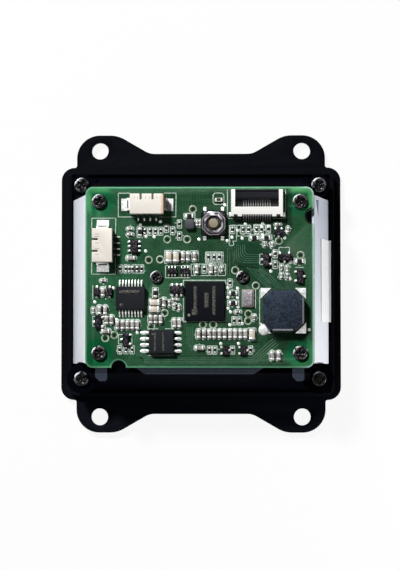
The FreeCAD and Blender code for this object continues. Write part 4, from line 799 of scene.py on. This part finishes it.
# Corner screws: the same blackened pan heads. They go through the board and the frame's top
# into the posts of the light boxes.
board_places = [(-21, -15.25, board_top, 40), (-21, 16.45, board_top, 65), (21, -15.25, board_top, 90),
                (21, 16.45, board_top, 115)]
board_screws = planted("corner_screws", screw_part("corner_screw", 1.55, 1.1, 0.85, 5.6), board_places,
                       black_steel)
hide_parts("board_screws")


# Wire headers: two ivory four-way sockets that open to the side, with tinned pins and two
# soldered ears each. The top one has gone amber at its right end.
ivory = moulded("header_ivory", tone(247, 242, 231), 0.42, 0.3, 0.004, 0.03, {"Specular IOR Level": 0.35})
across, along, up = ivory.place()
aged = (across + 7.95 + ivory.grain(1.0) * 0.3).fade(0.0, 0.4) * (along > 12.0)
body_tone = ivory.blend(aged * 0.6, tone(232, 226, 216), tone(196, 140, 84))
# Painted shade: the socket mouths are dark inside.
top_mouth = (along > 14.6) * (abs(across + 10.93) < 2.8)
left_mouth = (across < -19.05) * (abs(along - 7.12) < 2.8)
mouth_painted_shade = (up > 20.95) * (up < 23.15) * top_mouth.most(left_mouth)
ticks = abs(along - 9.41) < 0.08
for y, half in ((8.91, 0.08), (7.58, 0.1), (6.37, 0.08), (5.19, 0.08)):
    ticks = ticks.most(abs(along - y) < half)
ticks = ticks * (abs(across + 21.2) < 0.42) * (up > 23.6)
for x in (-13.5, -12.83, -11.13, -10.38, -8.76, -8.14):
    ticks = ticks.most((abs(across - x) < 0.07) * (abs(along - 16.98) < 0.32) * (up > 23.6))
body_tone = ivory.blend(ticks * 0.55, body_tone, tone(140, 124, 108))
ivory.set("Base Color", ivory.blend(mouth_painted_shade, body_tone, tone(26, 22, 18)))
eased("left_socket", "left_header_housing", 0.1, ivory)
eased("top_socket", "top_header_housing", 0.1, ivory)
white_tin = Finish("white_tin", tone(240, 241, 238), 0.35)
white_tin.relief(white_tin.grain(0.4), 0.012)
across, along, up = white_tin.place()
slit = (abs(across + 14.9) < 0.13) * (abs(along - 15.7) < 0.8)
slit = slit.most((abs(across + 6.8) < 0.13) * (abs(along - 15.55) < 0.85))
slit = slit.most((abs(along - 11.15) < 0.13) * (abs(across + 20.2) < 0.85))
slit = slit.most((abs(along - 3.15) < 0.13) * (abs(across + 20.1) < 0.9))
plating = white_tin.blend(white_tin.grain(0.5).fade(0.35, 0.65), tone(214, 216, 214), tone(250, 251, 250))
white_tin.set("Base Color", white_tin.blend(slit, plating, tone(24, 20, 18)))
# Painted sheen: the left header's lower ear and the buzzer's lower-right foot, which lie in shade, are made
# metallic to reflect the white surroundings.
painted_sheen_in_shade = ((across < -18.0) * (along < 4.9)).most((across > 18.0) * (along < -8.4))
white_tin.set("Metallic", painted_sheen_in_shade * 0.85)
pin_tin = Finish("pin_tin", tone(205, 205, 198), 0.35, {"Metallic": 0.4})
across, along, up = pin_tin.place()
# Painted shade: the pins are near-black except the bright solder dots by the top header and the tips of the
# left pins.
dot = (abs(along - 12.66) < 0.28) * (across > -14.0)
tip = (across > -17.25) * (across < -16.0) * 0.6
pin_tin.set("Base Color", pin_tin.blend(dot.most(tip), tone(24, 28, 26), tone(246, 248, 246)))
pin_tin.relief(pin_tin.grain(0.35), 0.01)
for node, name, metal in (("left_header_pins", "left_pins", pin_tin),
                          ("top_header_pins", "top_pins", pin_tin),
                          ("left_header_tabs", "left_ears", white_tin),
                          ("top_header_tabs", "top_ears", white_tin)):
    eased(name, node, 0.04, metal, steps=1)


# Flat-cable connector: white housing with a comb of gilt contacts and a black flip latch that
# turns up on two pins to free the cable.
pearl = moulded("connector_white", tone(244, 243, 238), 0.42, 0.25, 0.004, 0.03, {"Specular IOR Level": 0.3})
across, along, up = pearl.place()
socket_x = 12.0
off_middle = abs(across - socket_x)
# Painted shade: the housing's inside is near-black.
inside = (off_middle < 4.56) * (along > 15.21) * (up < 22.1)
# Painted shadow: the housing's foot below the contacts is dark, with grey stripes for the comb.
foot = (along < 13.6) * (off_middle < 3.15).most(abs(off_middle - 4.45) < 0.42)
teeth = (across.math("PINGPONG", across, 0.25) > 0.13) * (off_middle < 3.0)
foot_painted_shadow = pearl.blend(teeth, tone(34, 35, 36), tone(150, 150, 148))
housing_tone = pearl.blend(inside, tone(244, 243, 238), tone(16, 15, 19))
pearl.set("Base Color", pearl.blend(foot, housing_tone, foot_painted_shadow))
eased("cable_socket", "flat_cable_housing", 0.07, pearl)
contact = Finish("contact_metal", tone(150, 148, 146), 0.35, {"Metallic": 0.5})
across, along, up = contact.place()
# Painted shadow: the contact tails below the housing are darker.
tail_painted_shadow = (along < 13.2) * (1.0 + (along < 12.75)) * 0.5
contact.set("Base Color", contact.blend(tail_painted_shadow, tone(150, 148, 150), tone(60, 62, 56)))
contact.set("Roughness", contact.grain(0.4) * 0.25 + 0.2)
contact.relief(contact.grain(0.3), 0.006)
eased("cable_contacts", "flat_cable_contacts", 0.03, contact, steps=1)
eased("socket_ears", "flat_cable_tabs", 0.05, tin, steps=1)
latch_black = moulded("latch_black", tone(38, 38, 42), 0.5, 0.2, 0.004,
                      constants={"Specular IOR Level": 0.08})
across, along, up = latch_black.place()
banded = (along.fade(18.2, 18.5)).most((along < 17.25) * 0.7)
latch_black.set("Base Color", latch_black.blend(banded, tone(36, 37, 42), tone(15, 14, 18)))
eased("flip_latch", "cable_latch", 0.06, latch_black, "latch")


# Push button: bright stamped cover over a black base, with a tan plunger in its round hole, a
# snap dome under it and four soldered legs.
bright = Finish("bright_steel", tone(216, 218, 216), 0.28, {"Metallic": 0.6})
across, along, up = bright.place()
button_x, button_y = 2.96, 11.77
out_x, out_y = abs(across - button_x), abs(along - button_y)
octagon = out_x.most(out_y).most((out_x + out_y) * slant)
# Painted highlight: a bright mottled band on the bevel of the raised ring.
band = up.fade(21.46, 21.56) * (octagon < 2.02) * (octagon > 1.6)
skirt = (octagon > 2.28) * (octagon < 2.45) * (up > 21.3)
steel_tone = bright.blend(octagon > 2.45, tone(50, 42, 48), tone(20, 18, 21))
steel_tone = bright.blend(skirt, steel_tone, tone(146, 140, 146))
band_tone = bright.blend(bright.grain(1.3).fade(0.42, 0.6), tone(72, 68, 74), tone(196, 196, 196))
bright.set("Base Color", bright.blend(band, steel_tone, band_tone))
bright.set("Roughness", bright.grain(1.2) * 0.22 + 0.18)
bright.relief(bright.grain(0.5), 0.01)
eased("button_body", "button_base", 0.08, black_plastic)
eased("button_cap", "button_cover", 0.07, bright)
dress(bright, "button_dome")
eased("button_legs", "button_terminals", 0.04, tin, steps=1)
tan = moulded("plunger_tan", tone(140, 130, 108), 0.5, 0.25, 0.005)
across, along, up = tan.place()
# Painted shade: the plunger below its tan top is near-black down in the hole.
tan.set("Base Color", tan.blend(up.fade(21.3, 21.9), tone(26, 24, 22), tone(140, 130, 108)))
eased("button_pin", "button_plunger", 0.12, tan, "plunger")


# Chips: matt black moulded bodies with faint grey bars where the print was, an index dot, and
# tinned gull-wing leads at the sides.
def chip_black(name, color):
    """Black moulding compound with a slight silvery grain."""
    return moulded(name, color, 0.55, 0.12, 0.004, 0.25, {"Specular IOR Level": 0.05})


processor_black = chip_black("processor_black", tone(13, 16, 21))
driver_black = chip_black("driver_black", tone(32, 34, 38))
memory_black = chip_black("memory_black", tone(36, 39, 43))
small_black = chip_black("small_black", tone(30, 31, 34))
mottling = small_black.grain(0.34).fade(0.5, 0.64) * 0.7
small_black.set("Base Color", small_black.blend(mottling, tone(24, 24, 28), tone(104, 94, 104)))
eased("processor_chip", "processor", 0.1, processor_black)
eased("driver_chip", "serial_driver_body", 0.1, driver_black)
eased("memory_chip", "flash_memory_body", 0.1, memory_black)
eased("driver_leads", "serial_driver_leads", 0.03, tin, steps=1)
eased("memory_leads", "flash_memory_leads", 0.04, tin, steps=1)
print_grey = flecked("print_grey", tone(26, 27, 30), tone(100, 98, 92), 0.6,
                     {"Specular IOR Level": 0.1}, patch=0.26, fine=0.3, depth=0.003, edges=(0.36, 0.6))
for name, lines, width in (
        ("processor_print", [[(-0.85, -1.9), (-0.85, -6.7)], [(3.05, -1.9), (3.05, -7.9)]], 0.72),
        ("processor_block", [[(-0.95, -6.7), (-0.95, -7.9)]], 1.3),
        ("processor_mark", [[(1.52, -3.3), (1.52, -6.35)]], 0.95)):
    ribbons(name, lines, width, print_grey, 0.0, 0.86)
dot_grey = flecked("dot_grey", tone(110, 108, 100), tone(150, 148, 140), 0.6,
                   {"Specular IOR Level": 0.1}, patch=0.2, fine=0.2, depth=0.003)
dot_section = [(0, 0.008), (0.27, 0.008), (0.31, 0)]
dot = turned("index_dot", dot_section, 16)
planted("index_dots", dot, [(-2.19, -7.36, 21.045, 0)], dot_grey)
dimple = turned("moulded_dimple", dot_section, 16)
dimple_places = [(-16.24, -5.27, 21.945, 0, (1.3, 1.3, 1)), (-9.7, -11.3, 22.045, 0)]
planted("moulded_dimples", dimple, dimple_places, print_grey)
ribbons("driver_print", [[(-16.7, -3.15), (-12.4, -3.15)]], 0.75,
                print_grey, 0.0, 1.76)
ribbons("memory_print", [[(-9.2, -11.6), (-9.2, -15.4)], [(-7.5, -11.6), (-7.5, -15.4)]], 0.4,
                print_grey, 0.0, 1.86)
solder_lands = []
for i in range(4):
    solder_lands.append((-11.5, -11.03 - 1.27 * i, board_top, 0, (0.95, 0.42, 1)))
    solder_lands.append((-4.4, -11.03 - 1.27 * i, board_top, 0, (0.72, 0.4, 1)))
land = turned("solder_land", [(0, 0.14), (0.5, 0.12), (0.85, 0.07), (1.0, 0)], 20)
planted("memory_lands", land, solder_lands, tin)


# Crystal: ceramic boat with a brushed metal lid. Buzzer: blue-grey moulded case with cut
# corners over four soldered terminals. Inductor: grey ferrite block.
ceramic = moulded("boat_ceramic", tone(150, 144, 142), 0.5, 0.2, 0.004, 0.2)
eased("crystal_boat", "crystal_base", 0.08, ceramic)
lid = flecked("lid_metal", tone(114, 108, 114), tone(170, 166, 170), 0.35,
              {"Metallic": 0.4}, patch=0.42, fine=0.4, depth=0.006, edges=(0.35, 0.65))
lid.set("Roughness", lid.grain(0.8) * 0.25 + 0.25)
eased("crystal_cap", "crystal_lid", 0.08, lid)
case = moulded("buzzer_case", tone(43, 51, 62), 0.4, 0.4, 0.005, constants={"Specular IOR Level": 0.1})
across, along, up = case.place()
buzzer_x, buzzer_y = 17.5, -6.4
# Painted light: the top lighter towards its upper-left corner, the side of the lamp, mixed with clouds.
painted_light_slope = ((along - buzzer_y) - (across - buzzer_x)) * 0.055 + 0.5
clouds_and_painted_light = (painted_light_slope + case.grain(0.9) * 0.9 - 0.45).fade(0.0, 1.0)
case_tone = case.blend(clouds_and_painted_light, tone(22, 27, 36), tone(44, 54, 68))
case_tone = case.blend(case.grain(0.3).fade(0.42, 0.62) * 0.45, case_tone, tone(64, 76, 93))
case_tone = case.blend(case.grain(0.62).fade(0.5, 0.6) * 0.6, case_tone, tone(20, 25, 33))
# Painted highlights: pale lines along the upper edges of the lower and right sides.
lower_painted_highlight = (along < -10.3) * (abs(across - 17.3) < 2.1)
side_painted_highlight = (across > 21.35) * (abs(along + 6.2) < 3.2) * 0.5
case.set("Base Color", case.blend(lower_painted_highlight.most(side_painted_highlight) * (up > 22.6), case_tone, tone(150, 152, 158)))
eased("buzzer_case_piece", "buzzer_body", 0.3, case, steps=3)
eased("buzzer_feet", "buzzer_terminals", 0.05, white_tin, steps=1)
blob = turned("solder_blob", [(0, 0.3), (0.5, 0.26), (0.85, 0.14), (1.0, 0)], 24)
blob_places = [(13.5, -10.4, board_top + 0.05, 0, (1.2, 1.2, 1.7)),
               (21.6, -2.5, board_top + 0.1, 45, (0.5, 0.75, 1.0)),
               (22.35, -15.0, board_top, 0, (0.22, 0.6, 0.6))]
planted("buzzer_solder", blob, blob_places, white_tin)
ferrite = moulded("ferrite", tone(46, 47, 54), 0.6, 0.15, 0.01, 0.25)
eased("inductor_block", "power_inductor", 0.1, ferrite)


# Small chips: resistors with a black glassy top between white ends, capacitors of grey-brown
# ceramic, each with two tinned end caps and a fillet of solder running out from every end.
def islands(node):
    """The separate boxes of a CAD node: middle, length, width, lowest and highest level, in mm."""
    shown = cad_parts[node]
    work = bmesh.new()
    work.from_mesh(shown.data)
    work.transform(shown.matrix_world)
    bmesh.ops.remove_doubles(work, verts=work.verts, dist=1e-6)
    found, seen_corners = [], set()
    for start in work.verts:
        if start in seen_corners:
            continue
        group, queue = [], [start]
        seen_corners.add(start)
        while queue:
            corner_now = queue.pop()
            group.append(corner_now.co / mm)
            for edge in corner_now.link_edges:
                other = edge.other_vert(corner_now)
                if other not in seen_corners:
                    seen_corners.add(other)
                    queue.append(other)
        low = [min(c[i] for c in group) for i in range(3)]
        high = [max(c[i] for c in group) for i in range(3)]
        found.append((low, high))
    work.free()
    return found


def chip_places(*nodes):
    """Places of small chips for planting unit parts: their length lies along X before turning."""
    places = []
    for node in nodes:
        for low, high in islands(node):
            long_x, long_y = high[0] - low[0], high[1] - low[1]
            lying = long_x >= long_y
            size = (long_x, long_y, high[2] - low[2]) if lying else (long_y, long_x, high[2] - low[2])
            places.append(((low[0] + high[0]) / 2, (low[1] + high[1]) / 2, low[2], 0 if lying else 90, size))
    return places


def unit_part(name, blocks, edge=0.04):
    """Part out of blocks in shares of a chip's length, width and height."""
    work = bmesh.new()
    for low, high in blocks:
        add_block(work, low, high)
    part = new_piece(name, work)
    bevel = part.modifiers.new("edges", "BEVEL")
    bevel.width = edge * mm
    bevel.segments = 1
    bevel.use_clamp_overlap = False
    settle(part)
    part.data.shade_smooth()
    part.data.set_sharp_from_angle(angle=math.radians(50))
    return part


def solder_part(name):
    """Two concave fillets of solder at the ends of a unit chip, with rounded flanks."""
    work = bmesh.new()
    for side in (-1, 1):
        rows = []
        for share, rise in ((0.0, 0.62), (0.05, 0.36), (0.12, 0.16), (0.2, 0.02)):
            half = 0.5 - share * 0.7
            section = ((-half, 0.0), (-half * 0.9, rise * 0.8), (0, rise), (half * 0.9, rise * 0.8),
                       (half, 0.0))
            rows.append([work.verts.new(Vector((side * (0.49 + share), y, z)) * mm) for y, z in section])
        for inner, outer in zip(rows, rows[1:]):
            for i in range(4):
                work.faces.new((inner[i], inner[i + 1], outer[i + 1], outer[i]))
        work.faces.new(rows[0])
        work.faces.new(rows[-1])
    bmesh.ops.recalc_face_normals(work, faces=work.faces)
    part = new_piece(name, work)
    part.data.shade_smooth()
    return part


resistor_places = chip_places("chip_resistors")
capacitor_places = chip_places("small_capacitors", "chip_capacitors")
large_places = chip_places("large_capacitors")
resistor_finish = Finish("resistor_top", tone(28, 28, 30), 0.3, {"Specular IOR Level": 0.15})
facing_up = resistor_finish.facing()[2].fade(0.6, 0.9)
resistor_finish.set("Base Color", resistor_finish.blend(facing_up, tone(205, 205, 198), tone(28, 28, 31)))
resistor_finish.relief(resistor_finish.grain(0.2), 0.006)
ceramic_grey = flecked("capacitor_grey", tone(112, 108, 106), tone(176, 174, 168), 0.45,
                       None, patch=0.8, fine=0.2, depth=0.008, edges=(0.35, 0.65))
ceramic_cream = flecked("capacitor_cream", tone(190, 178, 156), tone(220, 212, 196), 0.45,
                        None, patch=0.8, fine=0.2, depth=0.008)
middle = [((-0.36, -0.48, 0.0), (0.36, 0.48, 0.96))]
ends = [((-0.5, -0.5, 0.0), (-0.3, 0.5, 1.0)), ((0.3, -0.5, 0.0), (0.5, 0.5, 1.0))]
resistor_bodies = planted("resistor_bodies", unit_part("resistor_middle", middle), resistor_places,
                          resistor_finish)
capacitor_bodies = planted("capacitor_bodies", unit_part("capacitor_middle", middle), capacitor_places,
                           ceramic_grey)
large_bodies = planted("large_bodies", unit_part("large_middle", middle), large_places, ceramic_cream)
all_places = resistor_places + capacitor_places + large_places
caps = planted("end_caps", unit_part("end_cap", ends), all_places, tin)
fillets = planted("solder_fillets", solder_part("fillet"), all_places, tin)
# Painted shadow: a dark flat plate under every small chip, reaching past it.
ground_dark = flecked("ground_dark", tone(8, 20, 14), tone(22, 46, 32), 0.6,
                      {"Specular IOR Level": 0.05}, patch=0.5, fine=0.2, depth=0.003)
shadow_work = bmesh.new()
add_block(shadow_work, (-0.68, -0.64, 0.0), (0.68, 0.64, 0.012))
contact_shadows = planted("chip_grounds", new_piece("chip_ground", shadow_work), all_places, ground_dark)
outlines = {0.12: [], 0.5: []}
for chips, corner_radius in ((resistor_places, 0.12), (capacitor_places, 0.5), (large_places, 0.12)):
    for x, y, z, turn, size in chips:
        reach, half = size[0] / 2 + 0.36, size[1] / 2 + 0.2
        reach_x, reach_y = (reach, half) if turn == 0 else (half, reach)
        outlines[corner_radius].append(frame_line(x - reach_x, x + reach_x, y - board_shift - reach_y,
                                                  y - board_shift + reach_y))
for corner_radius, lines in outlines.items():
    name = "square_outlines" if corner_radius < 0.3 else "round_outlines"
    ribbons(name, lines, 0.19, print_white, corner_radius, 0.01)
dice = random.Random(11)
ticks = []
for x, y, z, turn, size in all_places:
    for side in (-1, 1):
        beside = side * (size[1] / 2 + dice.uniform(0.36, 0.5))
        slip, half = dice.uniform(-0.4, 0.4), dice.uniform(0.1, 0.28)
        if turn == 0:
            tick_x, tick_y = x + slip, y - board_shift + beside
        else:
            tick_x, tick_y = x + beside, y - board_shift + slip
        reach_x, reach_y = (half, 0) if dice.random() < 0.5 else (0, half)
        if dice.random() < 0.7:
            ticks.append([(tick_x - reach_x, tick_y - reach_y), (tick_x + reach_x, tick_y + reach_y)])
ribbons("print_ticks", ticks, 0.16, print_white, 0.0, 0.009)
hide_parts("chip_resistors")
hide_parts("small_capacitors", "chip_capacitors")
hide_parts("large_capacitors")


# Small packages: transistors, logic chips and diodes in black moulding compound, with short bent
# leads or flat ends of tinned metal soldered to the board.
for node, name in (("transistor_bodies", "small_transistors"), ("logic_chip_bodies", "small_logic"),
                   ("diode_bodies", "small_diodes")):
    eased(name, node, 0.07, small_black)
for node, name in (("transistor_leads", "transistor_legs"), ("logic_chip_leads", "logic_legs"),
                   ("diode_terminals", "diode_legs")):
    eased(name, node, 0.03, tin, steps=1)


# Indicator: a small pale light beside the connector, with a dark spot in the middle of its
# clear yellowish top.
indicator = moulded("indicator_pale", tone(206, 204, 184), 0.3, 0.3, 0.004)
across, along, up = indicator.place()
spot = (abs(across - 4.0) < 0.42) * (abs(along - 16.8) < 0.3)
indicator.set("Base Color", indicator.blend(spot, tone(226, 228, 218), tone(26, 26, 26)))
eased("indicator", "indicator_light", 0.08, indicator)
